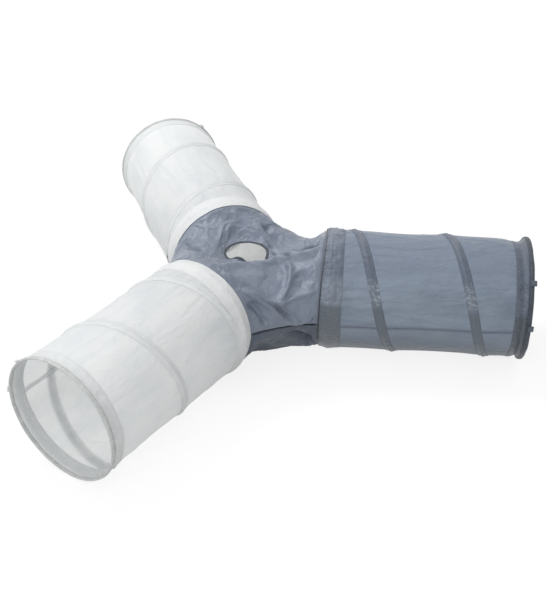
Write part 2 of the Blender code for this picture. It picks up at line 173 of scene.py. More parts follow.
def points_of(obj: bpy.types.Object) -> Array:
    """The places of a piece's vertices, one row each."""
    return read(obj.data.vertices, "co", 3)


def move_points(obj: bpy.types.Object, places: Array) -> None:
    """Puts a piece's vertices at new places, as a hand moves cloth."""
    obj.data.vertices.foreach_set("co", np.ascontiguousarray(places, float).ravel())
    obj.data.update()


def scale_uv(obj: bpy.types.Object, across: float, along: float) -> None:
    """Scales a piece's UV map, so that it is in metres of the cut cloth."""
    cut = obj.data.uv_layers[0].data
    cut.foreach_set("uv", (read(cut, "uv", 2) * (across, along)).ravel())


def flat_sheet(
    name: str, width: float, length: float, columns: int, rows: int
) -> bpy.types.Object:
    """Cuts a flat sheet of cloth whose UV map is its cut size in metres.

    Args:
        name: The piece's name.
        width: Its size along X.
        length: Its size along Y.
        columns: Faces along X.
        rows: Faces along Y.

    Returns:
        The sheet, with one corner at the origin.
    """
    deselect_all()
    bpy.ops.mesh.primitive_grid_add(
        x_subdivisions=columns, y_subdivisions=rows, size=1.0, location=(0.0, 0.0, 0.0)
    )
    obj = bpy.context.object
    obj.name = obj.data.name = name
    with editing(obj):
        bpy.ops.transform.translate(value=(0.5, 0.5, 0.0))
        bpy.ops.transform.resize(value=(width, length, 1.0), center_override=(0.0, 0.0, 0.0))
    scale_uv(obj, width, length)
    return obj


def delete_faces(obj: bpy.types.Object, unwanted: Array) -> None:
    """Cuts away the faces that are marked as unwanted."""
    pick(obj)
    obj.data.vertices.foreach_set("select", np.zeros(len(obj.data.vertices), bool))
    obj.data.edges.foreach_set("select", np.zeros(len(obj.data.edges), bool))
    obj.data.polygons.foreach_set("select", unwanted)
    bpy.ops.object.mode_set(mode="EDIT")
    bpy.context.tool_settings.mesh_select_mode = (False, False, True)
    bpy.ops.mesh.delete(type="FACE")
    bpy.ops.object.mode_set(mode="OBJECT")


def trim(obj: bpy.types.Object, low: float, high: float) -> None:
    """Cuts a flat piece square at two places along Y and drops what lies outside."""
    with editing(obj):
        for place, outer in ((low, False), (high, True)):
            bpy.ops.mesh.select_all(action="SELECT")
            bpy.ops.mesh.bisect(
                plane_co=(0.0, place, 0.0), plane_no=(0.0, 1.0, 0.0),
                clear_outer=outer, clear_inner=not outer,
            )


def weld(obj: bpy.types.Object, distance: float = 0.00002) -> None:
    """Merges vertices that lie together, as where a band meets itself."""
    with editing(obj):
        bpy.ops.mesh.remove_doubles(threshold=distance)


def close_ends(obj: bpy.types.Object) -> None:
    """Closes a cord's open ends."""
    with editing(obj):
        bpy.ops.mesh.fill_holes(sides=0)


def face_outward(obj: bpy.types.Object) -> None:
    """Turns a closed piece's faces outwards."""
    with editing(obj):
        bpy.ops.mesh.normals_make_consistent(inside=False)


def apply_modifier(obj: bpy.types.Object, kind: str, **settings: object) -> None:
    """Adds a modifier with its settings and applies it.

    Args:
        obj: The piece.
        kind: The modifier's type.
        **settings: Its settings.
    """
    modifier = obj.modifiers.new(kind.lower(), kind)
    for key, value in settings.items():
        setattr(modifier, key, value)
    pick(obj)
    bpy.ops.object.modifier_apply(modifier=modifier.name)


def thicken(obj: bpy.types.Object, thickness: float) -> None:
    """Gives cloth its thickness, inwards from its face."""
    apply_modifier(obj, "SOLIDIFY", thickness=thickness, offset=-1.0)


def smooth(obj: bpy.types.Object) -> None:
    """Shades a piece smooth."""
    pick(obj)
    bpy.ops.object.shade_smooth()


def join(pieces: Sequence[bpy.types.Object], name: str) -> bpy.types.Object:
    """Joins pieces into the first and names it."""
    deselect_all()
    for piece in pieces:
        piece.select_set(True)
    obj = bpy.context.view_layer.objects.active = pieces[0]
    bpy.ops.object.join()
    obj.name = obj.data.name = name
    return obj


def stitch_row(name: str, count: int, pitch: float, half: float) -> bpy.types.Object:
    """A straight row of stitches along X, from one stitch and an array.

    Args:
        name: The row's name.
        count: How many stitches.
        pitch: From one to the next, in X's own units.
        half: Half a stitch's length, in the same units.

    Returns:
        The row.
    """
    deselect_all()
    bpy.ops.mesh.primitive_uv_sphere_add(segments=6, ring_count=4, radius=1.0)
    obj = bpy.context.object
    obj.name = obj.data.name = name
    with editing(obj):
        bpy.ops.transform.resize(value=(half, STITCH_WIDE, STITCH_HIGH),
                                 center_override=(0.0, 0.0, 0.0))
        bpy.ops.transform.translate(value=(pitch / 2, 0.0, 0.0))
    apply_modifier(obj, "ARRAY", count=count, use_relative_offset=False,
                   use_constant_offset=True, constant_offset_displace=(pitch, 0.0, 0.0))
    return obj


def dress(
    obj: bpy.types.Object, material: bpy.types.Material, slot: str, body: str, *nodes: str
) -> bpy.types.Object:
    """Gives a finished piece its material and the body it rides on, and hides the nodes that it
    stands for.

    Args:
        obj: The piece.
        material: What it is made of.
        slot: The record's material slot. It is not used.
        body: The body that carries it, or nothing.
        *nodes: The CAD nodes that it stands for.

    Returns:
        The piece.
    """
    obj.data.materials.clear()
    obj.data.materials.append(material)
    if body:
        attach(obj, body)
    if nodes:
        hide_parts(*nodes)
    return obj


# ---- Cloth that waves and creases ---------------------------------------------------------


@dataclass(frozen=True)
class Waves:
    """Smooth seeded waves over a sheet, which meet themselves round a sleeve.

    Attributes:
        seed: Chooses the pattern.
        around: Waves in one turn.
        along: Waves in a metre along the piece.
        slant: How many turns the pattern winds in a metre.
    """

    seed: int
    around: int
    along: float
    slant: float = 0.0

    def at(self, turn: Array, reach: Array) -> Array:
        """The waves' height, from -1 to 1, at turns round and metres along."""
        lattice = np.random.default_rng(self.seed).uniform(-1.0, 1.0, (97, self.around))
        x = (turn + self.slant * reach) * self.around
        y = reach * self.along + 11.37
        x0, y0 = np.floor(x), np.floor(y)
        fx, fy = x - x0, y - y0
        fx = fx * fx * fx * (fx * (fx * 6.0 - 15.0) + 10.0)
        fy = fy * fy * fy * (fy * (fy * 6.0 - 15.0) + 10.0)
        left, right = x0.astype(int) % self.around, (x0.astype(int) + 1) % self.around
        low, high = y0.astype(int) % 97, (y0.astype(int) + 1) % 97
        near = lattice[low, left] * (1 - fx) + lattice[low, right] * fx
        far = lattice[high, left] * (1 - fx) + lattice[high, right] * fx
        return near * (1 - fy) + far * fy

    def creases(self, turn: Array, reach: Array, width: float) -> Array:
        """Fine ridges, from 0 to 1, where the waves pass through nothing."""
        return np.exp(-np.abs(self.at(turn, reach)) / width)


def ease(share: Array) -> Array:
    """From 0 to 1, level at both ends."""
    share = np.clip(share, 0.0, 1.0)
    return share * share * (3.0 - 2.0 * share)


def way_along(*axes: Array) -> Array:
    """How far along a line each of its places is, from their coordinates."""
    steps = np.sqrt(sum(np.diff(axis) ** 2 for axis in axes))
    return np.concatenate(((0.0,), np.cumsum(steps)))


def bump_share(share: Array, peak: float) -> Array:
    """From 0 at both ends to 1 at the peak."""
    warped = np.clip(share, 0.0, 1.0) ** (math.log(0.5) / math.log(peak))
    return np.clip(np.sin(math.pi * warped), 0.0, 1.0) ** 1.7


# ---- Materials ------------------------------------------------------------------------------


def linear(colour: Colour) -> tuple[float, float, float, float]:
    """A screen colour as linear light with an alpha of 1."""
    shares = [channel / 255.0 for channel in colour]
    light = [s / 12.92 if s <= 0.04045 else ((s + 0.055) / 1.055) ** 2.4 for s in shares]
    return light[0], light[1], light[2], 1.0


class Amount:
    """A number that varies over a surface. Its operators add the shader's maths nodes."""

    def __init__(self, graph: "Graph", socket: bpy.types.NodeSocket) -> None:
        """Wraps a node's output socket."""
        self.graph = graph
        self.socket = socket

    def _maths(self, operation: str, *values: "Amount | float") -> "Amount":
        """One maths node on the given values."""
        node = self.graph.node(
            "ShaderNodeMath", {"operation": operation}, dict(enumerate(values))
        )
        return Amount(self.graph, node.outputs[0])

    def __add__(self, other: "Amount | float") -> "Amount":
        """Sum."""
        return self._maths("ADD", self, other)

    def __radd__(self, other: float) -> "Amount":
        """Sum, reflected."""
        return self._maths("ADD", other, self)

    def __sub__(self, other: "Amount | float") -> "Amount":
        """Difference."""
        return self._maths("SUBTRACT", self, other)

    def __rsub__(self, other: float) -> "Amount":
        """Difference, reflected."""
        return self._maths("SUBTRACT", other, self)

    def __mul__(self, other: "Amount | float") -> "Amount":
        """Product."""
        return self._maths("MULTIPLY", self, other)

    def __rmul__(self, other: float) -> "Amount":
        """Product, reflected."""
        return self._maths("MULTIPLY", other, self)

    def __abs__(self) -> "Amount":
        """Size without sign."""
        return self._maths("ABSOLUTE", self)

    def sine(self) -> "Amount":
        """Sine of an angle in radians."""
        return self._maths("SINE", self)

    def least(self, other: "Amount | float") -> "Amount":
        """The lesser of two."""
        return self._maths("MINIMUM", self, other)

    def most(self, other: "Amount | float") -> "Amount":
        """The greater of two."""
        return self._maths("MAXIMUM", self, other)

    def step(self, low: float, high: float) -> "Amount":
        """A smooth rise from 0 at low to 1 at high."""
        node = self.graph.node(
            "ShaderNodeMapRange", {"interpolation_type": "SMOOTHSTEP"},
            {"Value": self, "From Min": low, "From Max": high},
        )
        return Amount(self.graph, node.outputs[0])


class Graph:
    """The nodes of a material, or of the world."""

    def __init__(self, name: str, world: bool = False) -> None:
        """Starts a material or the world with nothing but its output."""
        self.owner = (bpy.data.worlds if world else bpy.data.materials).new(name)
        self.owner.use_nodes = True
        self.tree = self.owner.node_tree
        self.tree.nodes.clear()
        self.output = self.node(f"ShaderNodeOutput{'World' if world else 'Material'}")

    def node(
        self, kind: str, settings: dict | None = None, inputs: dict | None = None
    ) -> bpy.types.Node:
        """Adds a node of any kind.

        Args:
            kind: Its type.
            settings: Its properties, set first.
            inputs: Values or links of its sockets, by name or place.

        Returns:
            The node.
        """
        node = self.tree.nodes.new(kind)
        for key, value in (settings or {}).items():
            setattr(node, key, value)
        for key, value in (inputs or {}).items():
            socket = node.inputs[key]
            if isinstance(value, Amount):
                value = value.socket
            if isinstance(value, bpy.types.NodeSocket):
                self.tree.links.new(value, socket)
            else:
                socket.default_value = value
        return node

    def noise(
        self, source: str, scale: Sequence[float] | float, detail: float = 2.0,
        distortion: float = 0.0, rough: float = 0.5, seed: float = 0.0,
    ) -> Amount:
        """Cloudy noise on Object or UV coordinates.

        Args:
            source: The output of Texture Coordinate to read.
            scale: How many clouds there are in a metre, each way or in all ways.
            detail: How much finer it gets.
            distortion: How far the clouds are pulled about.
            rough: How strong its finer clouds are.
            seed: Moves the pattern.

        Returns:
            The noise, from 0 to 1.
        """
        ways = (scale, scale, scale) if isinstance(scale, float) else (*scale, 1.0)
        mapping = self.node("ShaderNodeMapping", None, {
            "Vector": self.node("ShaderNodeTexCoord").outputs[source], "Scale": ways,
            "Location": (seed, seed, -seed)})
        node = self.node("ShaderNodeTexNoise", None, {
            "Vector": mapping.outputs[0], "Scale": 1.0, "Detail": detail,
            "Distortion": distortion, "Roughness": rough})
        return Amount(self, node.outputs["Fac"])

    def creased(self, source: str, scale: Sequence[float] | float, seed: float) -> Amount:
        """Crumpled noise, 1 along sharp creases and less between them, moved by a seed."""
        cloud = self.noise(source, scale, 2.0, 0.8, 0.45, seed)
        return (1.0 - abs(cloud - 0.5) * 4.0).most(0.0)

    def parts(self, source: str) -> list[Amount]:
        """The three numbers of Object coordinates, or of the cut cloth's UV map in metres."""
        place = self.node("ShaderNodeTexCoord").outputs[source]
        split = self.node("ShaderNodeSeparateXYZ", None, {0: place})
        return [Amount(self, output) for output in split.outputs]

    def blend(
        self, share: Amount | float, first: object, second: object,
    ) -> bpy.types.NodeSocket:
        """A colour between two, through a Mix node.

        Args:
            share: 0 for the first, 1 for the second.
            first: A colour or a socket.
            second: A colour or a socket.

        Returns:
            The output socket.
        """
        node = self.node("ShaderNodeMix", {"data_type": "RGBA"}, {0: share, 6: first, 7: second})
        return node.outputs[2]

    def bump(
        self, height: Amount, depth: float, below: bpy.types.NodeSocket | None = None,
    ) -> bpy.types.NodeSocket:
        """A Bump node's normal.

        Args:
            height: The pattern, from 0 to 1.
            depth: How deep it is, in metres.
            below: The normal of the bump under it.

        Returns:
            The output socket.
        """
        inputs = {"Height": height, "Distance": depth, "Strength": 1.0}
        if below is not None:
            inputs["Normal"] = below
        return self.node("ShaderNodeBump", None, inputs).outputs[0]

    def finish(self, shader: bpy.types.Node) -> bpy.types.Material | bpy.types.World:
        """Links the last shader to the output and gives the material or the world."""
        self.tree.links.new(shader.outputs[0], self.output.inputs["Surface"])
        return self.owner

    def surface(
        self, inputs: dict, sheer: float = 0.0, glow: Sequence[float] = (),
    ) -> bpy.types.Material:
        """Finishes a material with one surface, which may let light through.

        Args:
            inputs: The surface's colour, roughness, normal and so on.
            sheer: The share of the light that passes through.
            glow: The colour of the light that does, linear, with an alpha.

        Returns:
            The material.
        """
        shader = self.node("ShaderNodeBsdfPrincipled", None, inputs)
        if sheer:
            light = self.node("ShaderNodeBsdfTranslucent", None, {"Color": glow})
            shader = self.node("ShaderNodeMixShader", None, {
                0: sheer, 1: shader.outputs[0], 2: light.outputs[0]})
        return self.finish(shader)


@dataclass(frozen=True)
class ClothFinish:
    """Woven taffeta: crossed threads, slubs along them, and soft crinkles.

    Attributes:
        name: The material's name.
        colour: Its screen colour.
        deep: The colour of its thicker threads, and the painted shade along its creases.
        roughness: How dull it is.
        sheen: Its soft edge light.
        sheer: The share of the light that passes through, 0 to 1.
        glow: The colour of the light that passes through.
        crinkle: How deep its small crinkles are, in metres.
        thread: The space between threads, in metres.
        drawn: Whether its creases run along the cut, as in a sleeve.
        low: Its colour below, where it turns away from the light.
        low_at: The height above the floor at which that begins, or nothing.
        high: Its colour at its top, a painted shade, if it has a low one.
        seam_at: Metres across the cut at which a sewn seam darkens it, with a painted shadow
            line at its lap, or nothing.
        seam_and_shadow_colour: The colour of that seam and of its painted shadow line.
    """

    name: str
    colour: Colour
    deep: Colour
    roughness: float
    sheen: float = 0.15
    sheer: float = 0.0
    glow: Colour = (235, 236, 236)
    crinkle: float = 0.0010
    thread: float = 0.0005
    drawn: bool = True
    low: Colour = (108, 116, 129)
    low_at: float = 0.0
    high: Colour = (104, 115, 134)
    seam_at: float = 0.0
    seam_and_shadow_colour: Colour = (90, 98, 110)

    def make(self) -> bpy.types.Material:
        """Builds the material."""
        graph = Graph(self.name)
        across, along, _ = graph.parts("UV")
        turn = TURN / self.thread
        weave = (across * turn).sine() * (along * turn).sine() * 0.5 + 0.5
        slub = graph.noise("UV", (900.0, 14.0), 3.0)
        weft = graph.noise("UV", (14.0, 900.0), 3.0)
        cloud = graph.noise("Object", 9.0, 3.0, 0.4)
        small = graph.noise("Object", 95.0, 3.0, 0.6)
        if self.drawn:
            wide = graph.creased("UV", (19.0, 5.0), 3.1)
            fine = graph.creased("UV", (58.0, 24.0), 7.7)
            streak = graph.noise("UV", (42.0, 4.5), 3.0, 0.6)
        else:
            wide = graph.creased("Object", 17.0, 3.1)
            fine = graph.creased("Object", 46.0, 7.7)
            streak = graph.noise("Object", 24.0, 3.0, 1.2)
        # Darker along the fine creases: a painted shade.
        shade = cloud.step(0.35, 0.7) * 0.3 + slub * 0.12 + weft * 0.12 + fine * 0.16
        shade = shade + streak.step(0.32, 0.70) * 0.26
        colour = graph.blend(shade.step(0.1, 1.0), linear(self.colour), linear(self.deep))
        if self.low_at:
            height = graph.parts("Object")[2]
            below = 1.0 - height.step(self.low_at - 0.06, self.low_at + 0.03)
            colour = graph.blend(below, colour, linear(self.low))
            # Its top is painted darker: a painted shade.
            above = height.step(0.190, 0.236) * (streak * 0.5 + 0.4)
            colour = graph.blend(above, colour, linear(self.high))
        # The seam: a faint wide band of its fell, and a narrow line of painted shadow at its
        # lap.
        if self.seam_at:
            edge = across.least(abs(self.seam_at - across))
            line = 1.0 - edge.step(0.0004, 0.0016)
            fell = (1.0 - edge.step(0.0040, 0.0062)) * 0.35
            colour = graph.blend((line + fell).least(1.0), colour, linear(self.seam_and_shadow_colour))
        woven = graph.bump(weave + slub * 0.6 + weft * 0.6, 0.00006)
        crinkled = graph.bump(wide * 1.6 + fine * 0.6 + small * 0.4, self.crinkle, woven)
        return graph.surface({
            "Base Color": colour,
            "Roughness": (small * 0.16 + (self.roughness - 0.08)).least(1.0),
            "Normal": crinkled,
            "Sheen Weight": self.sheen,
            "Sheen Roughness": 0.4,
            "Specular IOR Level": 0.4,
        }, self.sheer, linear(self.glow))


@dataclass(frozen=True)
class TapeFinish:
    """Satin tape and cords: ribbed across and puckered, with painted shade in the puckers and
    painted highlights on spots.

    Attributes:
        name: The material's name.
        colour: Its screen colour.
        deep: Its colour between the ribs, and the painted shade in its puckers.
        roughness: How dull it is.
        painted_highlight: The colour of the painted highlights on its puckered spots.
        highlight_share: How much of it the painted highlights take, 0 to 1, at the height where
            they are strongest.
        low: Its colour below, where it turns away from the light.
        low_at: The height above the floor at which that begins, or nothing.
        high: Its colour above, a painted shade on its top.
        high_at: The height above the floor at which that begins, or nothing.
        rib: The space between ribs, in metres.
        crinkle: How deep its crinkles are, in metres.
        sheer: The share of the light that passes through.
        groove_shadow_at: Metres along the cut at which a painted shadow line darkens it, as in a
            groove, or nothing.
        groove_shadow: The colour of that painted shadow line.
    """

    name: str
    colour: Colour
    deep: Colour
    roughness: float
    painted_highlight: Colour = (240, 241, 242)
    highlight_share: float = 0.0
    low: Colour = (90, 98, 106)
    low_at: float = 0.0
    high: Colour = (94, 104, 121)
    high_at: float = 0.0
    rib: float = 0.0008
    crinkle: float = 0.0010
    sheer: float = 0.0
    groove_shadow_at: float = 0.0
    groove_shadow: Colour = (150, 154, 156)

    def make(self) -> bpy.types.Material:
        """Builds the material."""
        graph = Graph(self.name)
        across, along, _ = graph.parts("UV")
        ribs = (across * (TURN / self.rib)).sine() * 0.5 + 0.5
        weft = (along * (TURN / (self.rib * 0.6))).sine() * 0.5 + 0.5
        worn = graph.noise("Object", 40.0, 3.0, 0.5)
        pucker = graph.noise("UV", (150.0, 120.0), 2.0, 0.5)
        rucks = graph.creased("UV", (95.0, 60.0), 5.3)
        shade = ribs * 0.15 + weft * 0.1 + worn.step(0.3, 0.75) * 0.35
        # The puckers are painted darker: a painted shade.
        shade = (shade + pucker.step(0.35, 0.65) * 0.4).least(1.0)
        colour = graph.blend(shade, linear(self.colour), linear(self.deep))
        height = graph.parts("Object")[2]
        # Painted highlights: lighter spots on the puckers, in a band of height.
        if self.highlight_share:
            reach = height.step(0.150, 0.185) * (1.0 - height.step(0.205, 0.228))
            spots = (pucker.step(0.42, 0.72) * reach * self.highlight_share).least(1.0)
            colour = graph.blend(spots, colour, linear(self.painted_highlight))
        if self.low_at:
            below = 1.0 - (height + worn * 0.006).step(self.low_at, self.low_at + 0.012)
            colour = graph.blend(below * 0.85, colour, linear(self.low))
        # Its top is painted darker: a painted shade.
        if self.high_at:
            above = (height + worn * 0.006).step(self.high_at, self.high_at + 0.012)
            above = above * (1.0 - height.step(0.242, 0.252) * 0.7)
            colour = graph.blend(above * 0.7, colour, linear(self.high))
        # A painted shadow line across the tape, as along a groove.
        if self.groove_shadow_at:
            line = 1.0 - abs(along - self.groove_shadow_at).step(0.0008, 0.0026)
            colour = graph.blend(line, colour, linear(self.groove_shadow))
        fine = graph.bump(ribs * 0.6 + weft * 0.4, 0.00010)
        crinkled = graph.bump(pucker * 0.7 + rucks * 0.5, self.crinkle, fine)
        return graph.surface({
            "Base Color": colour,
            "Roughness": (pucker * 0.3 + (self.roughness - 0.15)).most(0.05),
            "Normal": crinkled,
            "Sheen Weight": 0.1,
            "Specular IOR Level": 0.45,
        }, self.sheer, (0.92, 0.92, 0.92, 1.0))


@dataclass(frozen=True)
class SteelFinish:
    """Sprung steel wire, drawn lengthwise, with faint dark scale."""

    name: str
    colour: Colour = (158, 160, 164)
    scale: Colour = (110, 110, 114)

    def make(self) -> bpy.types.Material:
        """Builds the material."""
        graph = Graph(self.name)
        drawn = graph.noise("Object", 160.0, 4.0, 1.0)
        spots = graph.noise("Object", 30.0)
        return graph.surface({
            "Base Color": graph.blend(spots.step(0.5, 0.75), linear(self.colour),
                                      linear(self.scale)),
            "Metallic": 1.0,
            "Roughness": drawn * 0.25 + 0.22,
            "Normal": graph.bump(drawn, 0.00003),
        })


@dataclass(frozen=True)
class ThreadFinish:
    """Twisted sewing thread.

    Attributes:
        name: The material's name.
        colour: Its screen colour.
        deep: Its colour between the plies.
    """

    name: str
    colour: Colour
    deep: Colour

    def make(self) -> bpy.types.Material:
        """Builds the material."""
        graph = Graph(self.name)
        twist = graph.noise("Object", 900.0)
        return graph.surface({
            "Base Color": graph.blend(twist.step(0.4, 0.7), linear(self.colour),
                                      linear(self.deep)),
            "Roughness": twist * 0.2 + 0.5,
            "Normal": graph.bump(twist, 0.00008),
            "Sheen Weight": 0.2,
        })


# ---- An arm ---------------------------------------------------------------------------------


@dataclass(frozen=True)
class ArmShape:
    """Where an arm lies, and the skin that all of its cloth follows.

    Attributes:
        name: right, back or front.
        heading: Degrees from +X.
        cuff_at: From the middle of the hub to the cuff's hub side.
        length: From there to the rim of the mouth.
        coil_start: The degrees round it at which its coil would pass the cuff's hub side.
        seed: Chooses its waves and creases.
        sag: How deep the cloth bows in between wires, as a share of their spacing.
        edge_lean: How far the cuff's hub edge leans along the arm at its top.
        edge_draw: How far the hub's cloth draws the cuff's hub edge in.
        top_draw: How much further it does at its top.
        wave: The depth of its broad waves.
        crease: The height of its creases.
        neck: How far the cloth draws in before the hem.
        ditch: How far the hub's cloth lies below the cuff's edge where it comes out of it.
        wander: Degrees by which the sleeve's seam strays from one end to the other.
        gather: The depth of the gathers in the top of its cuff.
        wire_gather: The depth of the small gathers beside its wires.
        edge_pucker: The depth of the puckers at its cuff's hub edge.
    """

    name: str
    heading: float
    cuff_at: float
    length: float
    coil_start: float
    seed: int
    sag: float = 0.0120
    edge_lean: float = 0.0
    edge_draw: float = 0.002
    top_draw: float = 0.0
    wave: float = 0.0012
    crease: float = 0.0017
    neck: float = 0.0015
    ditch: float = 0.0016
    wander: float = 0.0
    gather: float = 0.0005
    wire_gather: float = 0.0007
    edge_pucker: float = 0.0006

    @property
    def along(self) -> Vector:
        """The way out along the arm."""
        heading = math.radians(self.heading)
        return Vector((math.cos(heading), math.sin(heading), 0.0))

    @property
    def place(self) -> Matrix:
        """From the arm's own left, up and along to the object's frame."""
        turn = Matrix((UP.cross(self.along), UP, self.along)).transposed().to_4x4()
        return Matrix.Translation(UP * AXIS_HEIGHT) @ turn

    @property
    def mouth(self) -> float:
        """From the middle of the hub to the rim."""
        return self.cuff_at + self.length

    @property
    def cuff_end(self) -> float:
        """To the cuff's arm side."""
        return self.cuff_at + CUFF_WIDTH

    @property
    def hem_start(self) -> float:
        """To where the hem begins."""
        return self.mouth - HEM_WIDTH

    @property
    def hub_hoop_at(self) -> float:
        """To the hub hoop."""
        return self.cuff_at + CUFF_TO_HOOP

    def edge(self, angle: Array) -> Array:
        """To the cuff's hub edge, at degrees round the arm."""
        top = np.clip(np.sin(np.radians(angle)), 0.0, 1.0)
        return self.cuff_at + self.edge_lean * top * top

    def coil_at(self, angle: Array) -> Array:
        """How far along the arm the coil is after so many degrees from 0."""
        return self.cuff_at + self.length * (angle - self.coil_start) / (360.0 * COIL_TURNS)

    def wires_about(self, angle: Array, reach: Array) -> tuple[Array, Array]:
        """The wires on either side of a place: where each crosses that angle."""
        pitch = self.length / COIL_TURNS
        first = self.coil_at(angle)
        below = first + np.floor((reach - first) / pitch) * pitch
        above = below + pitch
        last = self.mouth - END_TO_HOOP
        return np.maximum(below, self.hub_hoop_at), np.minimum(above, last)

    def skin(self, angle: Array, reach: Array) -> Array:
        """The radius of the sleeve's outer face.

        Args:
            angle: Degrees round the arm, 0 at its left, 90 at its top.
            reach: Metres along it, from the middle of the hub.

        Returns:
            The radius, bowed in between the wires, with waves and creases.
        """
        turn = angle / 360.0
        below, above = self.wires_about(angle, reach)
        span = np.maximum(above - below, 0.001)
        share = np.clip((reach - below) / span, 0.0, 1.0)
        bow = 4.0 * share * (1.0 - share)
        near = np.minimum(np.abs(reach - below), np.abs(above - reach))
        loose = ease(near / 0.045)
        radius = SLEEVE_OUTER - self.sag * span * bow
        ending = above > self.mouth - END_TO_HOOP - 0.000001
        neck = self.neck * np.clip(span / 0.09, 0.0, 1.0) * bump_share(share, 0.90)
        radius = radius - np.where(ending, neck, 0.0)
        radius = radius + self.wave * loose * Waves(self.seed, 9, 7.0, 0.25).at(turn, reach)
        for number, (around, along, slant) in enumerate(((13, 7.0, 0.7), (17, 9.0, -0.9))):
            waves = Waves(self.seed + 10 + number, around, along, slant)
            gate = ease(Waves(self.seed + 20 + number, 6, 9.0).at(turn, reach) * 1.6 + 0.15)
            radius = radius + self.crease * loose * gate * waves.creases(turn, reach, 0.09)
        gathers = Waves(self.seed + 30, 61, 16.0).at(turn, reach)
        held = np.exp(-near / 0.012) * ease(near / 0.004)
        radius = radius + self.wire_gather * held * gathers
        # Toward the hub the cuff is drawn in by the hub's cloth.
        back = np.clip((self.hub_hoop_at - reach) / CUFF_TO_HOOP, 0.0, 1.4)
        top = np.clip(np.sin(np.radians(angle)), 0.0, 1.0) ** 2
        draw = (self.edge_draw + self.top_draw * top) * back ** 1.3
        pucker = self.edge_pucker * Waves(self.seed + 40, 26, 30.0).at(turn, reach) * back
        return radius - draw + pucker

    def roll(
        self, obj: bpy.types.Object, shape: Callable[[Array, Array, Array], tuple] | None = None
    ) -> None:
        """Rolls a flat piece round the arm and puts it in its place.

        Args:
            obj: A flat piece: X runs round the sleeve from its seam, Y along it, Z outwards.
            shape: Gives the angle, reach and radius from its X, Y and Z, where it isn't
                plainly laid on the sleeve's skin.
        """
        x, y, z = points_of(obj).T
        if shape is None:
            angle = self.angle(x)
            reach, radius = y, self.skin(angle, y) + z
        else:
            angle, reach, radius = shape(x, y, z)
        around = np.radians(angle)
        rolled = np.stack((radius * np.cos(around), radius * np.sin(around), reach), 1)
        matrix = np.array(self.place)
        move_points(obj, rolled @ matrix[:3, :3].T + matrix[:3, 3])

    @staticmethod
    def angle(across: Array) -> Array:
        """Degrees round the arm, from metres across the flat cloth."""
        return SEAM_ANGLE + np.degrees(across / SLEEVE_OUTER)


@dataclass(frozen=True)
class ArmFinishes:
    """What an arm is made of.

    Attributes:
        cloth: The sleeve.
        tape: Channels and the seam's tape.
        cuff: Cuffs.
        cord: Piping.
        loop: Ribbon loops.
        hem: Hems.
        thread: Stitches.
        steel: Wires.
        dress: The slots' colour scheme.
    """

    cloth: bpy.types.Material
    tape: bpy.types.Material
    cuff: bpy.types.Material
    cord: bpy.types.Material
    loop: bpy.types.Material
    hem: bpy.types.Material
    thread: bpy.types.Material
    steel: bpy.types.Material
    dress: Dress


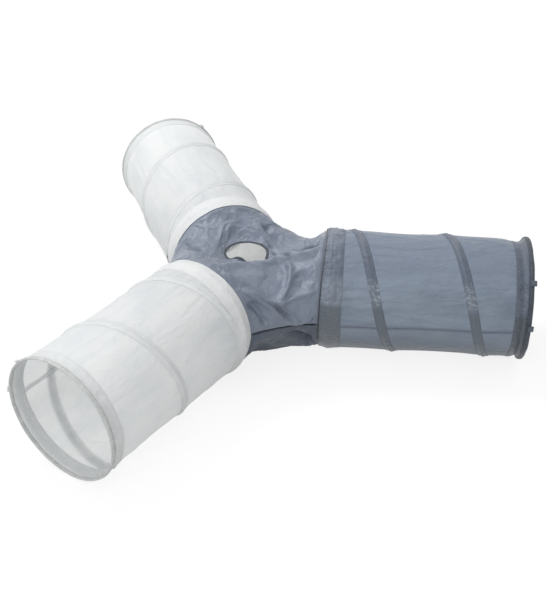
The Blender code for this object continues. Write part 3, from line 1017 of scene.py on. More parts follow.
@dataclass
class TunnelArm:
    """One arm: sleeve, seam tape, coil and channel, cuff and mouth.

    Attributes:
        shape: Where it lies and its skin.
        finishes: What it is made of.
        columns: Faces round a band.
        channel_crown: How far a channel rises over its wire.
        channel_half: Half the width of that rise.
        channel_pucker: The depth of the puckers between it and its seams.
        cuff_crown: How far the cuff rises over its hoop.
        cuff_half: Half the width of that rise.
        cuff_pucker: The depth of the cuff's puckers.
        hem_pucker: The depth of the hem's.
        pieces: Every piece that it has made.
    """

    shape: ArmShape
    finishes: ArmFinishes
    columns: int = 216
    channel_crown: float = 0.0024
    channel_half: float = 0.0030
    channel_pucker: float = 0.0006
    cuff_crown: float = 0.0027
    cuff_half: float = 0.0095
    cuff_pucker: float = 0.0006
    hem_pucker: float = 0.0007
    pieces: list[bpy.types.Object] = field(default_factory=list)

    @property
    def round_cut(self) -> float:
        """The cloth's width round the sleeve."""
        return TURN * SLEEVE_OUTER

    def name(self, piece: str) -> str:
        """A piece's name, in the way of the solids'."""
        return f"{self.shape.name}_{piece}"

    def keep(
        self, obj: bpy.types.Object, material: bpy.types.Material, slot: str, part: str,
        *nodes: str,
    ) -> bpy.types.Object:
        """Finishes a piece of this arm.

        Args:
            obj: The piece.
            material: What it is made of.
            slot: cloth, trim or steel.
            part: arm or mouth, the body that carries it.
            *nodes: The solids it replaces, without the arm's name.

        Returns:
            The piece.
        """
        smooth(obj)
        full = "spring_steel" if slot == "steel" else f"{self.finishes.dress.value}_{slot}"
        dress(obj, material, full, self.name(part), *(self.name(n) for n in nodes))
        self.pieces.append(obj)
        return obj

    def crumple(self, obj: bpy.types.Object) -> None:
        """Gives a piece its own copy of its mesh."""
        shape = self.shape
        anchor = shape.along * shape.cuff_end + UP * AXIS_HEIGHT
        self.name("collapse")
        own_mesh(obj)

    def band(self, name: str, rows: int, width: float) -> bpy.types.Object:
        """A flat strip once round the sleeve and one unit wide, with the UV map of its width."""
        obj = flat_sheet(self.name(name), self.round_cut, 1.0, self.columns, rows)
        scale_uv(obj, 1.0, width)
        return obj

    def round_rows(self, name: str, places: Sequence[float], width: float = 1.0) -> list:
        """Rows of stitches once round the sleeve.

        Args:
            name: The rows' name.
            places: Where each lies along Y, as shares of the width.
            width: The width of the band that they are on.

        Returns:
            The rows.
        """
        count = round(self.round_cut / STITCH_PITCH)
        rows = []
        for place in places:
            row = stitch_row(self.name(name), count, self.round_cut / count, STITCH_LONG)
            x, y, z = points_of(row).T
            move_points(row, np.stack((x, place + y / width, z), 1))
            rows.append(row)
        return rows

    def sew(
        self, name: str, rows: Sequence[bpy.types.Object],
        lay: Callable[[Array, Array, Array], tuple], part: str,
    ) -> bpy.types.Object:
        """Joins rows of stitches and lays them on the arm.

        Args:
            name: The piece's name.
            rows: The rows, on the flat.
            lay: Gives their angle, reach and radius.
            part: The body that carries them.

        Returns:
            The piece.
        """
        obj = join(rows, self.name(name))
        self.shape.roll(obj, lay)
        return self.keep(obj, self.finishes.thread, "trim", part)

    def along_seam(self, x: Array, y: Array, z: Array) -> tuple:
        """Lays a piece on the skin so that it strays with the sleeve's seam."""
        shape = self.shape
        middle = (shape.cuff_at + shape.mouth) / 2
        angle = shape.angle(x) + shape.wander * (middle - y) / shape.length
        return angle, y, shape.skin(angle, y) + z

    def sleeve_part(self, name: str, start: float, end: float, part: str) -> bpy.types.Object:
        """A length of the sleeve: a sheet, rolled and joined along its seam.

        Args:
            name: The piece's name.
            start: Its reach at the hub's side.
            end: Its reach at the mouth's side.
            part: The body that carries it, arm or mouth.

        Returns:
            The piece.
        """
        rows = round((end - start) / FACE)
        obj = flat_sheet(self.name(name), self.round_cut, end - start, 248, rows)
        move_points(obj, points_of(obj) + (0.0, start, 0.0))
        self.shape.roll(obj, self.along_seam)
        weld(obj)
        thicken(obj, CLOTH)
        self.keep(obj, self.finishes.cloth, "cloth", part, "sleeve")
        return obj

    def sleeve(self) -> None:
        """The sleeve, split just inside the hem: its length on the arm, and its end, which stays
        in the hem.
        """
        shape = self.shape
        split = shape.hem_start + SPLIT_IN_HEM
        start, end = shape.cuff_at + SLEEVE_IN_CUFF, shape.mouth - SLEEVE_TO_RIM
        self.crumple(self.sleeve_part("sleeve_cloth", start, split, "arm"))
        self.sleeve_part("sleeve_end_cloth", split, end, "mouth")

    def seam_tape(self) -> None:
        """The tape inside the sleeve over its seam."""
        shape = self.shape
        start, end = shape.cuff_end + GAP, shape.hem_start - GAP
        obj = flat_sheet(self.name("seam_tape_cloth"), SEAM_TAPE_WIDTH, end - start, 6, 110)
        move_points(obj, points_of(obj) + (-SEAM_TAPE_WIDTH / 2, start, UNDER))
        shape.roll(obj, self.along_seam)
        thicken(obj, TAPE)
        self.crumple(self.keep(obj, self.finishes.tape, "trim", "arm", "seam_tape"))

    def on_coil(self, turn: Array) -> Array:
        """Degrees round the arm at shares of the coil's run between cuff and hem."""
        shape = self.shape
        clear = WIRE_RADIUS + GAP
        first, last = shape.cuff_end + clear, shape.hem_start - clear
        return self.coil_angle(first + (last - first) * turn)

    def coil_angle(self, reach: Array) -> Array:
        """Degrees round the arm at which the coil passes a reach."""
        shape = self.shape
        return shape.coil_start + 360.0 * COIL_TURNS * (reach - shape.cuff_at) / shape.length

    def coil_wire(self) -> None:
        """The sprung coil: a sheet rolled into a wire and wound on the sleeve."""
        shape = self.shape
        obj = flat_sheet(self.name("coil"), 1.0, TURN, 230, 10)

        def wind(x: Array, y: Array, z: Array) -> tuple:
            """The wire's surface round the coil's line."""
            angle = self.on_coil(x)
            reach = shape.coil_at(angle) - WIRE_RADIUS * np.cos(y)
            return angle, reach, COIL_RADIUS + WIRE_RADIUS * np.sin(y)

        shape.roll(obj, wind)
        weld(obj)
        close_ends(obj)
        self.crumple(self.keep(obj, self.finishes.steel, "steel", "arm", "coil_wire"))

    def channel_rise(self, off: Array, angle: Array, reach: Array) -> Array:
        """How far the channel's face stands off the skin, a way off its wire."""
        crown = np.exp(-(np.abs(off) / self.channel_half) ** 2.2)
        pucker = Waves(self.shape.seed + 50, 92, 24.0).at(angle / 360.0, reach)
        loose = ease((np.abs(off) - 0.0024) / 0.002) * ease((0.0098 - np.abs(off)) / 0.002)
        return OVER + self.channel_crown * crown + self.channel_pucker * loose * (pucker + 0.5)

    def on_channel(self, x: Array, y: Array, z: Array) -> tuple:
        """Lays a strip over the coil: X is degrees round, Y metres along the arm."""
        shape = self.shape
        off = y - shape.coil_at(x)
        radius = shape.skin(x, y) + self.channel_rise(off, x, y) + z
        return x, y, radius

    def coil_channel(self) -> None:
        """The tape sewn over the coil, laid on the slant and cut by the cuff and the hem."""
        shape = self.shape
        first = self.coil_angle(shape.cuff_end - CHANNEL_WIDTH)
        sweep = self.coil_angle(shape.hem_start + CHANNEL_WIDTH) - first
        length = math.radians(sweep) * SLEEVE_OUTER
        obj = flat_sheet(self.name("channel_tape"), sweep, CHANNEL_WIDTH,
                         round(length / FACE), 14)
        scale_uv(obj, DEGREE_ROUND, 1.0)
        x, y, z = points_of(obj).T
        x = x + first
        move_points(obj, np.stack((x, shape.coil_at(x) + y - CHANNEL_WIDTH / 2, z), 1))
        trim(obj, shape.cuff_end + GAP, shape.hem_start - CHANNEL_SHORT)
        shape.roll(obj, self.on_channel)
        thicken(obj, TAPE)
        self.keep(obj, self.finishes.tape, "trim", "arm", "coil_channel")
        self.crumple(obj)

    def channel_stitches(self) -> None:
        """Two rows of stitches beside the coil."""
        shape = self.shape
        rows = []
        pitch = STITCH_PITCH / DEGREE_ROUND
        for off in (-CHANNEL_SEAM, CHANNEL_SEAM):
            first = self.coil_angle(shape.cuff_end + 0.001 - off)
            last = self.coil_angle(shape.hem_start - 0.001 - off)
            row = stitch_row(self.name("channel_row"), int((last - first) / pitch), pitch,
                             STITCH_LONG / DEGREE_ROUND)
            x, y, z = points_of(row).T
            x = x + first
            move_points(row, np.stack((x, shape.coil_at(x) + off + y, z), 1))
            rows.append(row)
        self.crumple(self.sew("channel_stitches", rows, self.on_channel, "arm"))

    def cuff_rise(self, reach: Array) -> Array:
        """How far the cuff's outer face stands off the skin: it tents over the hub hoop."""
        off = np.abs(reach - self.shape.hub_hoop_at)
        return OVER + self.cuff_crown * np.exp(-((off / self.cuff_half) ** 2))

    def on_cuff(self, x: Array, y: Array, z: Array) -> tuple:
        """Lays a strip on the cuff: Y is 0 at its arm side and 1 at its hub edge."""
        shape = self.shape
        angle = shape.angle(x)
        reach = shape.cuff_end + (shape.edge(angle) - shape.cuff_end) * y
        pucker = Waves(shape.seed + 60, 34, 40.0, 0.2).at(angle / 360.0, reach)
        off = np.abs(reach - shape.hub_hoop_at)
        loose = ease((off - 0.004) / 0.006) * ease((shape.cuff_end - reach) / 0.006)
        rise = self.cuff_rise(reach) + self.cuff_pucker * loose * (pucker + 0.35)
        top = np.clip(np.sin(np.radians(angle)) * 2.2 - 1.0, 0.0, 1.0)
        gathers = Waves(shape.seed + 61, 34, 22.0, 0.35).creases(angle / 360.0, reach, 0.25)
        held = ease((shape.cuff_end - reach) / 0.008) * ease((off - 0.002) / 0.006)
        rise = rise + shape.gather * top * gathers * held
        return angle, reach, shape.skin(angle, reach) + rise + z

    def cuff(self) -> None:
        """The cuff: an outer layer over the hub hoop and an inner one under the sleeve."""
        shape = self.shape

        def line(x: Array, y: Array, z: Array) -> tuple:
            """Lays a strip inside the sleeve."""
            angle = shape.angle(x)
            reach = shape.cuff_end + (shape.edge(angle) - shape.cuff_end) * y
            return angle, reach, shape.skin(angle, reach) + UNDER + z

        layers = []
        for name, rows, over, lay in (("cuff_cloth", 34, CUFF_OVER_EDGE, self.on_cuff),
                                      ("cuff_lining", 14, 1.0, line)):
            layer = self.band(name, rows, CUFF_WIDTH)
            x, y, z = points_of(layer).T
            move_points(layer, np.stack((self.round_cut - x, y * over, z), 1))
            shape.roll(layer, lay)
            weld(layer)
            layers.append(layer)
        obj = join(layers, self.name("cuff_cloth"))
        thicken(obj, TAPE)
        self.keep(obj, self.finishes.cuff, "trim", "arm", "cuff")

    def cuff_stitches(self) -> None:
        """Rows of stitches at the cuff's edges and on either side of its hoop."""
        rows = self.round_rows("cuff_row", (0.055, 0.115, 0.89, 0.945), CUFF_WIDTH)
        self.sew("cuff_stitches", rows, self.on_cuff, "arm")

    def hoop(self, piece: str, reach: float) -> bpy.types.Object:
        """A closed ring of wire, spun from a circle round the arm's axis."""
        deselect_all()
        bpy.ops.mesh.primitive_circle_add(vertices=10, radius=WIRE_RADIUS)
        obj = bpy.context.object
        obj.name = obj.data.name = self.name(piece)
        middle = (0.0, 0.0, 0.0)
        with editing(obj):
            bpy.ops.transform.rotate(value=math.pi / 2, orient_axis="X", center_override=middle)
            bpy.ops.transform.translate(value=(HOOP_RADIUS, 0.0, 0.0))
            bpy.ops.mesh.spin(steps=144, angle=TURN, center=middle, axis=(0.0, 0.0, 1.0))
        weld(obj, 0.00001)
        face_outward(obj)
        obj.data.transform(self.shape.place @ Matrix.Translation((0.0, 0.0, reach)))
        return obj

    def hoops(self) -> None:
        """The two steel hoops, one in the cuff and one in the hem."""
        shape = self.shape
        for piece, node, reach, part in (
            ("hub_hoop_wire", "hub_hoop", shape.hub_hoop_at, "arm"),
            ("mouth_hoop_wire", "mouth_hoop", shape.mouth - END_TO_HOOP, "mouth"),
        ):
            self.keep(self.hoop(piece, reach), self.finishes.steel, "steel", part, node)

    def hem_rise(self, reach: Array) -> Array:
        """How far the hem's outer face stands off the skin as it widens to the rim."""
        share = np.clip((reach - self.shape.hem_start) / HEM_WIDTH, 0.0, 1.0)
        return OVER + (HEM_OUTER - SLEEVE_OUTER - OVER) * share ** 3.0

    def hem_path(self) -> tuple[Array, Array, Array]:
        """The hem's fold: its length so far, its reach and how far it is off the skin."""
        shape = self.shape
        top = HEM_OUTER - SLEEVE_OUTER
        bend = (top - UNDER) / 2
        straight = np.linspace(shape.hem_start, shape.mouth - bend, 24)
        arc = np.linspace(math.pi / 2, -math.pi / 2, 15)[1:-1]
        reach = np.concatenate((straight, shape.mouth - bend + bend * np.cos(arc),
                                straight[::-1]))
        rise = np.concatenate((self.hem_rise(straight), UNDER + bend + bend * np.sin(arc),
                               np.full(24, UNDER)))
        return way_along(reach, rise), reach, rise

    def hem_slack(self, angle: Array, reach: Array) -> Array:
        """The small slack of the hem's outer layer between its rows of stitches."""
        shape = self.shape
        pucker = Waves(shape.seed + 70, 58, 30.0, 0.3).at(angle / 360.0, reach)
        loose = ease((reach - shape.hem_start - 0.001) / 0.005)
        loose = loose * ease((shape.mouth - 0.004 - reach) / 0.006)
        return self.hem_pucker * loose * (pucker + 0.4)

    def mouth_hem(self) -> None:
        """The hem: a strip folded over the mouth hoop."""
        shape = self.shape
        way, reach, rise = self.hem_path()
        obj = self.band("hem_cloth", 58, float(way[-1]))

        def fold(x: Array, y: Array, z: Array) -> tuple:
            """Lays the strip along the fold."""
            angle = shape.angle(x)
            at = np.interp(y * way[-1], way, reach)
            off = np.interp(y * way[-1], way, rise)
            off = off + np.where(y < 0.45, self.hem_slack(angle, at), 0.0)
            return angle, at, shape.skin(angle, at) + off

        shape.roll(obj, fold)
        weld(obj)
        thicken(obj, TAPE)
        self.keep(obj, self.finishes.hem, "trim", "mouth", "mouth_hem")

    def hem_stitches(self) -> None:
        """Rows of stitches at the hem's edge and beside its hoop."""
        shape = self.shape

        def lay(x: Array, y: Array, z: Array) -> tuple:
            """Lays the rows on the hem."""
            angle = shape.angle(x)
            off = self.hem_rise(y) + self.hem_slack(angle, y)
            return angle, y, shape.skin(angle, y) + off + z

        rows = self.round_rows("hem_row", (shape.hem_start + 0.0025, shape.mouth - 0.0075))
        self.sew("hem_stitches", rows, lay, "mouth")

    def rim_piping(self) -> None:
        """The piping on the rim: a strip folded round the hem's end and closed in a ring."""
        shape = self.shape
        deep, wide = 0.0024, 0.0044
        obj = flat_sheet(self.name("piping"), self.round_cut, TURN, 288, 16)
        scale_uv(obj, 1.0, 0.0034)

        def ring(x: Array, y: Array, z: Array) -> tuple:
            """The fold's surface, with the small waves of its sewing."""
            angle = shape.angle(x)
            turn = angle / 360.0
            wobble = 0.0004 * Waves(shape.seed + 80, 47, 1.0).at(turn, x * 0)
            swing = 0.0006 * Waves(shape.seed + 81, 31, 1.0).at(turn, x * 0)
            across, out = np.cos(y), np.sin(y)
            reach = shape.mouth - 0.0010 + swing - wide * np.sign(across) * abs(across) ** 0.8
            radius = RIM_OUTER - deep - 0.0003 + wobble * 0.6 + deep * out
            return angle, reach, radius

        shape.roll(obj, ring)
        weld(obj)
        self.keep(obj, self.finishes.cord, "trim", "mouth", "rim_piping")

    def rim_loop(self, number: int, angle: float) -> None:
        """A ribbon loop folded over the rim's edge and sewn on the hem."""
        shape = self.shape
        lap, width, height = 0.004, 0.010, 0.0028
        reach = 0.0065 if self.finishes.dress is Dress.BLUE_GREY else 0.0035
        bend = height / 2
        low = np.linspace(-lap, reach - bend, 14)
        arc = np.linspace(-math.pi / 2, math.pi / 2, 11)[1:-1]
        along = np.concatenate((low, reach - bend + bend * np.cos(arc), low[::-1]))
        out = np.concatenate((np.zeros(14), bend + bend * np.sin(arc), np.full(14, height)))
        way = way_along(along, out)
        obj = flat_sheet(self.name(f"loop_{number}"), width, float(way[-1]), 8, 44)
        middle = math.radians((angle - SEAM_ANGLE) % 360.0) * SLEEVE_OUTER

        def fold(x: Array, y: Array, z: Array) -> tuple:
            """Lays the ribbon along its fold, a little rounded across."""
            at = shape.mouth + np.interp(y, way, along)
            off = np.interp(y, way, out)
            crown = 0.0003 * np.cos(math.pi * (x / width - 0.5))
            base = RIM_OUTER + 0.0001
            return shape.angle(middle + x - width / 2), at, base + off + np.where(
                y > way[-1] / 2, crown, 0.0)

        shape.roll(obj, fold)
        thicken(obj, 0.0006)
        self.keep(obj, self.finishes.loop, "trim", "mouth", f"rim_loop_{number}")

    def build(self) -> None:
        """Builds every piece of the arm and reports it."""
        self.sleeve()
        self.seam_tape()
        self.coil_wire()
        self.coil_channel()
        self.channel_stitches()
        self.cuff()
        self.cuff_stitches()
        self.hoops()
        self.mouth_hem()
        self.hem_stitches()
        self.rim_piping()
        for number, angle in enumerate(LOOP_ANGLES, start=1):
            self.rim_loop(number, angle)
        for piece in self.pieces:
            log.info("%s: %d faces", piece.name, len(piece.data.polygons))


# ---- The hub --------------------------------------------------------------------------------


@dataclass(frozen=True)
class Fold:
    """A fold in the hub's cloth, along a line of places.

    Attributes:
        line: Its places in the object's frame.
        height: How far it stands out, or less than 0 for a valley.
        width: How wide it is to either side.
        sharp: 1 for a rounded fold, above 1 for a flatter top, below 1 for a crease.
    """

    line: tuple[tuple[float, float, float], ...]
    height: float
    width: float
    sharp: float = 1.0

    def at(self, places: Array) -> Array:
        """Its height at places of the cloth."""
        line = np.array(self.line)
        nearest = np.full(len(places), np.inf)
        share = np.zeros(len(places))
        so_far = way_along(*line.T)
        for i, (start, end) in enumerate(zip(line, line[1:])):
            way = end - start
            t = np.clip(((places - start) @ way) / (way @ way), 0.0, 1.0)
            distance = np.linalg.norm(places - start - t[:, None] * way, axis=1)
            closer = distance < nearest
            nearest = np.where(closer, distance, nearest)
            gone = so_far[i] + t * (so_far[i + 1] - so_far[i])
            share = np.where(closer, gone / so_far[-1], share)
        taper = ease(share / 0.25 + 0.25) * ease((1.0 - share) / 0.25 + 0.25)
        return self.height * taper * np.exp(-((nearest / self.width) ** (2.0 * self.sharp)))


@dataclass(frozen=True)
class HubSide:
    """The hub's cloth from one arm to the next.

    Attributes:
        name: rear, left or front.
        first: The arm it starts at.
        second: The arm it ends at.
        sag: How far its crest sags.
        sag_at: The share of the way at which it does most.
        tuck: How far its lower half draws in under the seam.
        tuck_at: The share of the way at which it does most.
        seam_drop: How many degrees lower its seam meets the second arm.
    """

    name: str
    first: ArmShape
    second: ArmShape
    sag: float
    sag_at: float
    tuck: float
    tuck_at: float
    seam_drop: float = 0.0

    def second_angle(self, down: Array) -> Array:
        """Degrees round the second arm, down from 0 at its top to 1 at its lowest."""
        return 90.0 + 180.0 * down + self.seam_drop * np.sin(math.pi * down) ** 2


@dataclass
class Hub:
    """The soft hub: upper and lower covers, welts and the peephole's binding.

    Attributes:
        sides: Its cloth between the arms, counter-clockwise.
        cloth: The material of its upper cover.
        under: The material of its lower cover: its cloth, painted darker as shade.
        trim: The material of its welts and binding.
        thread: The material of its stitches.
        folds: The folds in its cloth.
        columns: Faces from one arm to the next.
        upper_rows: Faces from the peephole down to the seam.
        lower_rows: Faces from the seam to the middle of the floor.
        collar: The width of its edge beside a cuff.
        tuck_in: How far that goes into the cuff.
        thickness: Its cloth's thickness.
        hole: The peephole's middle, X and Y.
        hole_radius: Its radius.
        hole_height: Its height above the floor.
        binding: The width and height of its binding.
        side_pull: How far the sides draw in at half height.
        lip_at: Degrees round the peephole at which its edge stands up most.
        lip_height: How far it does.
        droop_at: Degrees round it at which its edge droops most.
        droop: How far it does.
        seam_in: How far the cloth draws in at its seam.
        seam_over: How far the upper cloth bulges over the seam.
        seam_half: Half the room that the welt takes.
        fold_gain: How much deeper its folds are laid than the settled cloth shows them.
        bend_end: How far before the cuff a bend would end.
        bend_least: How far before the cuff a bend would begin at the latest.
        relaxing: How many times the cloth is evened out.
        slack: How much the cloth grows as it settles.
        settle_frames: How long it settles.
        reach_limit: How far the settling may move it.
        pieces: Every piece that it has made.
    """

    sides: tuple[HubSide, ...]
    cloth: bpy.types.Material
    under: bpy.types.Material
    trim: bpy.types.Material
    thread: bpy.types.Material
    folds: tuple[Fold, ...] = ()
    columns: int = 76
    upper_rows: int = 96
    lower_rows: int = 84
    collar: float = 0.005
    tuck_in: float = 0.004
    thickness: float = 0.0007
    hole: tuple[float, float] = (0.003, 0.003)
    hole_radius: float = 0.041
    hole_height: float = 0.1987
    binding: tuple[float, float] = (0.007, 0.0024)
    side_pull: float = 0.004
    lip_at: float = 256.0
    lip_height: float = 0.014
    droop_at: float = 318.0
    droop: float = 0.030
    seam_in: float = 0.0040
    seam_over: float = 0.0030
    seam_half: float = 0.0010
    fold_gain: float = 2.4
    bend_end: float = 0.0005
    bend_least: float = 0.015
    relaxing: int = 70
    slack: float = 0.042
    settle_frames: int = 16
    reach_limit: float = 0.009
    pieces: list[bpy.types.Object] = field(default_factory=list)

    def ring(self, arm: ArmShape, angle: Array, inside: Array | float) -> Array:
        """Places of the cloth round an arm's cuff, a way inside its hub edge."""
        reach = arm.edge(angle) - inside
        radius = arm.skin(angle, np.maximum(reach, arm.edge(angle) - 0.001))
        sunk = arm.ditch * (1.0 - 0.7 * np.clip(inside / self.collar, 0.0, 1.0))
        radius = radius - np.where(np.asarray(inside) < 0.0, 0.0004, sunk)
        along = np.array(arm.along)
        left = np.array(UP.cross(arm.along))
        around = np.radians(angle)
        places = reach[:, None] * along + (radius * np.cos(around))[:, None] * left
        places[:, 2] += AXIS_HEIGHT + radius * np.sin(around)
        return places

    def outward(self, side: HubSide) -> Array:
        """The level direction in which a side faces."""
        one, two = side.first, side.second
        first = np.array(one.along) * one.cuff_at + np.array(UP.cross(one.along)) * BAND_OUTER
        second = np.array(two.along) * two.cuff_at - np.array(UP.cross(two.along)) * BAND_OUTER
        middle = first + second
        return middle / np.linalg.norm(middle)

    def side_cloth(self, side: HubSide, down: Array, across: Array) -> Array:
        """The cloth between two cuffs, down from 0 at their tops to 1 at their lowest."""
        first = self.ring(side.first, 90.0 - 180.0 * down, self.collar)
        second = self.ring(side.second, side.second_angle(down), self.collar)
        places = first + (second - first) * across[:, None]
        share = bump_share(across, side.sag_at)
        out = self.outward(side)
        pull = self.side_pull * share * np.sin(math.pi * down) ** 2
        wide = np.clip(4.0 * across * (1.0 - across) * 1.6, 0.0, 1.0)
        pull = pull + self.seam_in * wide * np.exp(-(((down - 0.5) / 0.016) ** 2))
        pull = pull - self.seam_over * wide * np.exp(-(((down - 0.462) / 0.022) ** 2))
        places = places - out * pull[:, None]
        upper = down < 0.5
        drop = side.sag * share * np.cos(math.pi * down) ** 2
        places[:, 2] -= np.where(upper, drop, 0.0)
        tuck = side.tuck * bump_share(across, side.tuck_at)
        tuck = np.where(upper, 0.0, tuck * np.sin(TURN * (down - 0.5)) ** 2)
        places[:, 2] += 0.8 * tuck
        return places - out * (0.6 * tuck)[:, None]

    def rim(self, turn: Array, radius: Array | float) -> Array:
        """Places round the peephole at angles in radians, with its slack front lip."""
        x = self.hole[0] + radius * np.cos(turn)
        y = self.hole[1] + radius * np.sin(turn)
        return np.stack((x, y, self.hole_height + self.lip(turn)), 1)

    def lip(self, turn: Array) -> Array:
        """How far the hole's edge stands up at its front left, and droops beside that."""
        up = np.angle(np.exp(1j * (turn - math.radians(self.lip_at))))
        down = np.angle(np.exp(1j * (turn - math.radians(self.droop_at))))
        raised = self.lip_height * np.exp(-((up / 0.42) ** 2))
        return raised - self.droop * np.exp(-((down / 0.36) ** 2))

    def hole_edge(self, side: HubSide, across: Array) -> Array:
        """The cover's edge round the peephole, from one arm to the next."""
        ends = []
        for arm in (side.first, side.second):
            top = np.array(arm.along) * (arm.cuff_at - self.collar)
            ends.append(math.atan2(top[1] - self.hole[1], top[0] - self.hole[0]))
        sweep = (ends[1] - ends[0]) % TURN
        return self.rim(ends[0] + sweep * across, self.hole_radius + self.binding[0] / 2)

    def top_cloth(self, side: HubSide, share: Array, across: Array) -> Array:
        """From a side's crest, share 0, in to the peephole's edge, share 1."""
        crest = self.side_cloth(side, np.zeros_like(across), across)
        edge = self.hole_edge(side, across)
        places = crest + (edge - crest) * share[:, None]
        lifted = edge[:, 2] - self.hole_height
        places[:, 2] = crest[:, 2] + (self.hole_height - crest[:, 2]) * ease(share)
        places[:, 2] += lifted * ease((share - 0.68) / 0.32)
        return places

    def floor_cloth(self, side: HubSide, share: Array, across: Array) -> Array:
        """From a side's lowest line, share 0, in to the middle of the floor, share 1."""
        edge = self.side_cloth(side, np.ones_like(across), across)
        places = edge * (1.0 - share)[:, None]
        places[:, 2] = 0.0007 + (edge[:, 2] - 0.0007) * (1.0 - ease(share * 3.0))
        return places

    def lay(self, side: HubSide, columns: Array, down: Array, top: Array, floor: Array) -> Array:
        """Places of the cloth, from column numbers and shares.

        Args:
            side: The side of the hub.
            columns: From 0 at the first arm to the number of columns at the second; the two
                at each end are the collar.
            down: The share of the way down the side.
            top: The share of the way in from the crest to the peephole.
            floor: The share of the way in from the lowest line to the middle.

        Returns:
            The places, one row each.
        """
        last = self.columns
        across = np.clip((columns - 2.0) / (last - 4.0), 0.0, 1.0)
        places = self.side_cloth(side, down, across)
        inner = self.top_cloth(side, top, across)
        under = self.floor_cloth(side, floor, across)
        places = np.where((top > 0)[:, None], inner, places)
        places = np.where((floor > 0)[:, None], under, places)
        for near, arm, angle in (
            (columns, side.first, 90.0 - 180.0 * down),
            (last - columns, side.second, side.second_angle(down)),
        ):
            for number, inside in ((0, -self.tuck_in), (1, 0.0)):
                held = np.abs(near - number) < 0.25
                ring = self.ring(arm, angle, inside)
                places = np.where(held[:, None], ring, places)
        return places

    def crumpled(self, places: Array) -> Array:
        """How far small slack stands out at places of the cloth, apart from the folds."""
        turn = np.arctan2(places[:, 1], places[:, 0]) / TURN + 0.5
        reach = places[:, 2] + 0.6 * np.hypot(places[:, 0], places[:, 1])
        heights = 0.0006 * Waves(501, 11, 14.0, 0.6).at(turn, reach)
        heights += 0.0003 * Waves(502, 23, 26.0, -0.8).at(turn, reach)
        gate = ease(Waves(503, 7, 12.0).at(turn, reach) * 1.5 + 0.3)
        heights += 0.0008 * gate * Waves(504, 14, 18.0, 0.9).creases(turn, reach, 0.08)
        gate = ease(Waves(505, 7, 12.0).at(turn, reach) * 1.5 + 0.2)
        heights -= 0.0008 * gate * Waves(506, 17, 15.0, -1.2).creases(turn, reach, 0.08)
        return heights

    def held(self, places: Array) -> Array:
        """From 0 where the cloth is sewn to a cuff or the peephole to 1 where it is free."""
        free = np.ones(len(places))
        for side in self.sides:
            arm = side.first
            inside = arm.cuff_at - places @ np.array(arm.along)
            free = np.minimum(free, ease((inside - 0.001) / 0.020))
        off = np.hypot(places[:, 0] - self.hole[0], places[:, 1] - self.hole[1])
        upper = places[:, 2] > 0.12
        rim = ease((off - self.hole_radius - 0.003) / 0.014)
        free = np.where(upper, np.minimum(free, rim), free)
        return free * ease((places[:, 2] - 0.004) / 0.02)

    def cover(self, name: str, upper: bool) -> bpy.types.Object:
        """A cover in one piece: three flat cuts laid between the arms and sewn together."""
        rows = self.upper_rows if upper else self.lower_rows
        first_rows = 36 if upper else 62
        seam = (self.seam_half + GAP) / (math.pi * BAND_OUTER)
        cuts = []
        last = self.columns
        for number, side in enumerate(self.sides):
            cut = flat_sheet(f"{name}_{side.name}", last, rows, last, rows)
            across, along, _ = read(cut.data.polygons, "center", 3).T
            level = along < first_rows if upper else along > first_rows
            delete_faces(cut, level & ((across < 2) | (across > last - 2)))
            x, y, _ = points_of(cut).T
            columns = np.round(last - x)
            y = np.round(y)
            if upper:
                top = np.clip(1.0 - y / first_rows, 0.0, 1.0)
                down = np.clip((y - first_rows) / (rows - first_rows), 0, 1) * (0.5 - seam)
                floor = np.zeros_like(y)
            else:
                top = np.zeros_like(y)
                down = 0.5 + seam + np.clip(y / first_rows, 0, 1) * (0.5 - seam)
                floor = np.clip((y - first_rows) / (rows - first_rows), 0.0, 1.0)
            move_points(cut, self.lay(side, columns, down, top, floor))
            scale_uv(cut, 0.2 / last, 0.3 / rows)
            mark = cut.data.attributes.new("sector", "FLOAT", "POINT")
            across = (columns - 2.0) / (last - 4.0)
            mark.data.foreach_set("value", (number + np.clip(across, 0.001, 0.999))
                                  .astype(np.float32))
            cuts.append(cut)
        obj = join(cuts, name)
        weld(obj, 0.00003)
        self.relax(obj)
        places = points_of(obj)
        heights = self.crumpled(places)
        for fold in self.folds:
            heights = heights + self.fold_gain * fold.at(places)
        heights = (heights * self.held(places))[:, None]
        move_points(obj, places + read(obj.data.vertices, "normal", 3) * heights)
        self.settle(obj)
        return obj

    def pinned(self, obj: bpy.types.Object) -> Array:
        """From 0 where a cover is free to 1 where it is sewn down or lies on the floor."""
        places = points_of(obj)
        mark = read(obj.data.attributes["sector"].data, "value", 1, np.float32)
        drops = np.radians([side.seam_drop for side in self.sides])
        sunk = SLEEVE_OUTER * np.sin(drops[np.minimum(mark.astype(int), 2)]) * (mark % 1.0)
        free = np.ones(len(places))
        for side in self.sides:
            inside = side.first.cuff_at - places @ np.array(side.first.along)
            free = np.minimum(free, np.clip((inside - self.collar) / 0.004, 0.0, 1.0))
        off = np.hypot(places[:, 0] - self.hole[0], places[:, 1] - self.hole[1])
        rim = np.clip((off - self.hole_radius - 0.004) / 0.004, 0.0, 1.0)
        free = np.where(places[:, 2] > 0.15, np.minimum(free, rim), free)
        above = np.abs(places[:, 2] - AXIS_HEIGHT + sunk)
        loose = np.clip((above - 0.001) / 0.005, 0.0, 1.0)
        return 1.0 - np.where(places[:, 2] < 0.002, 0.0, np.minimum(free, loose))

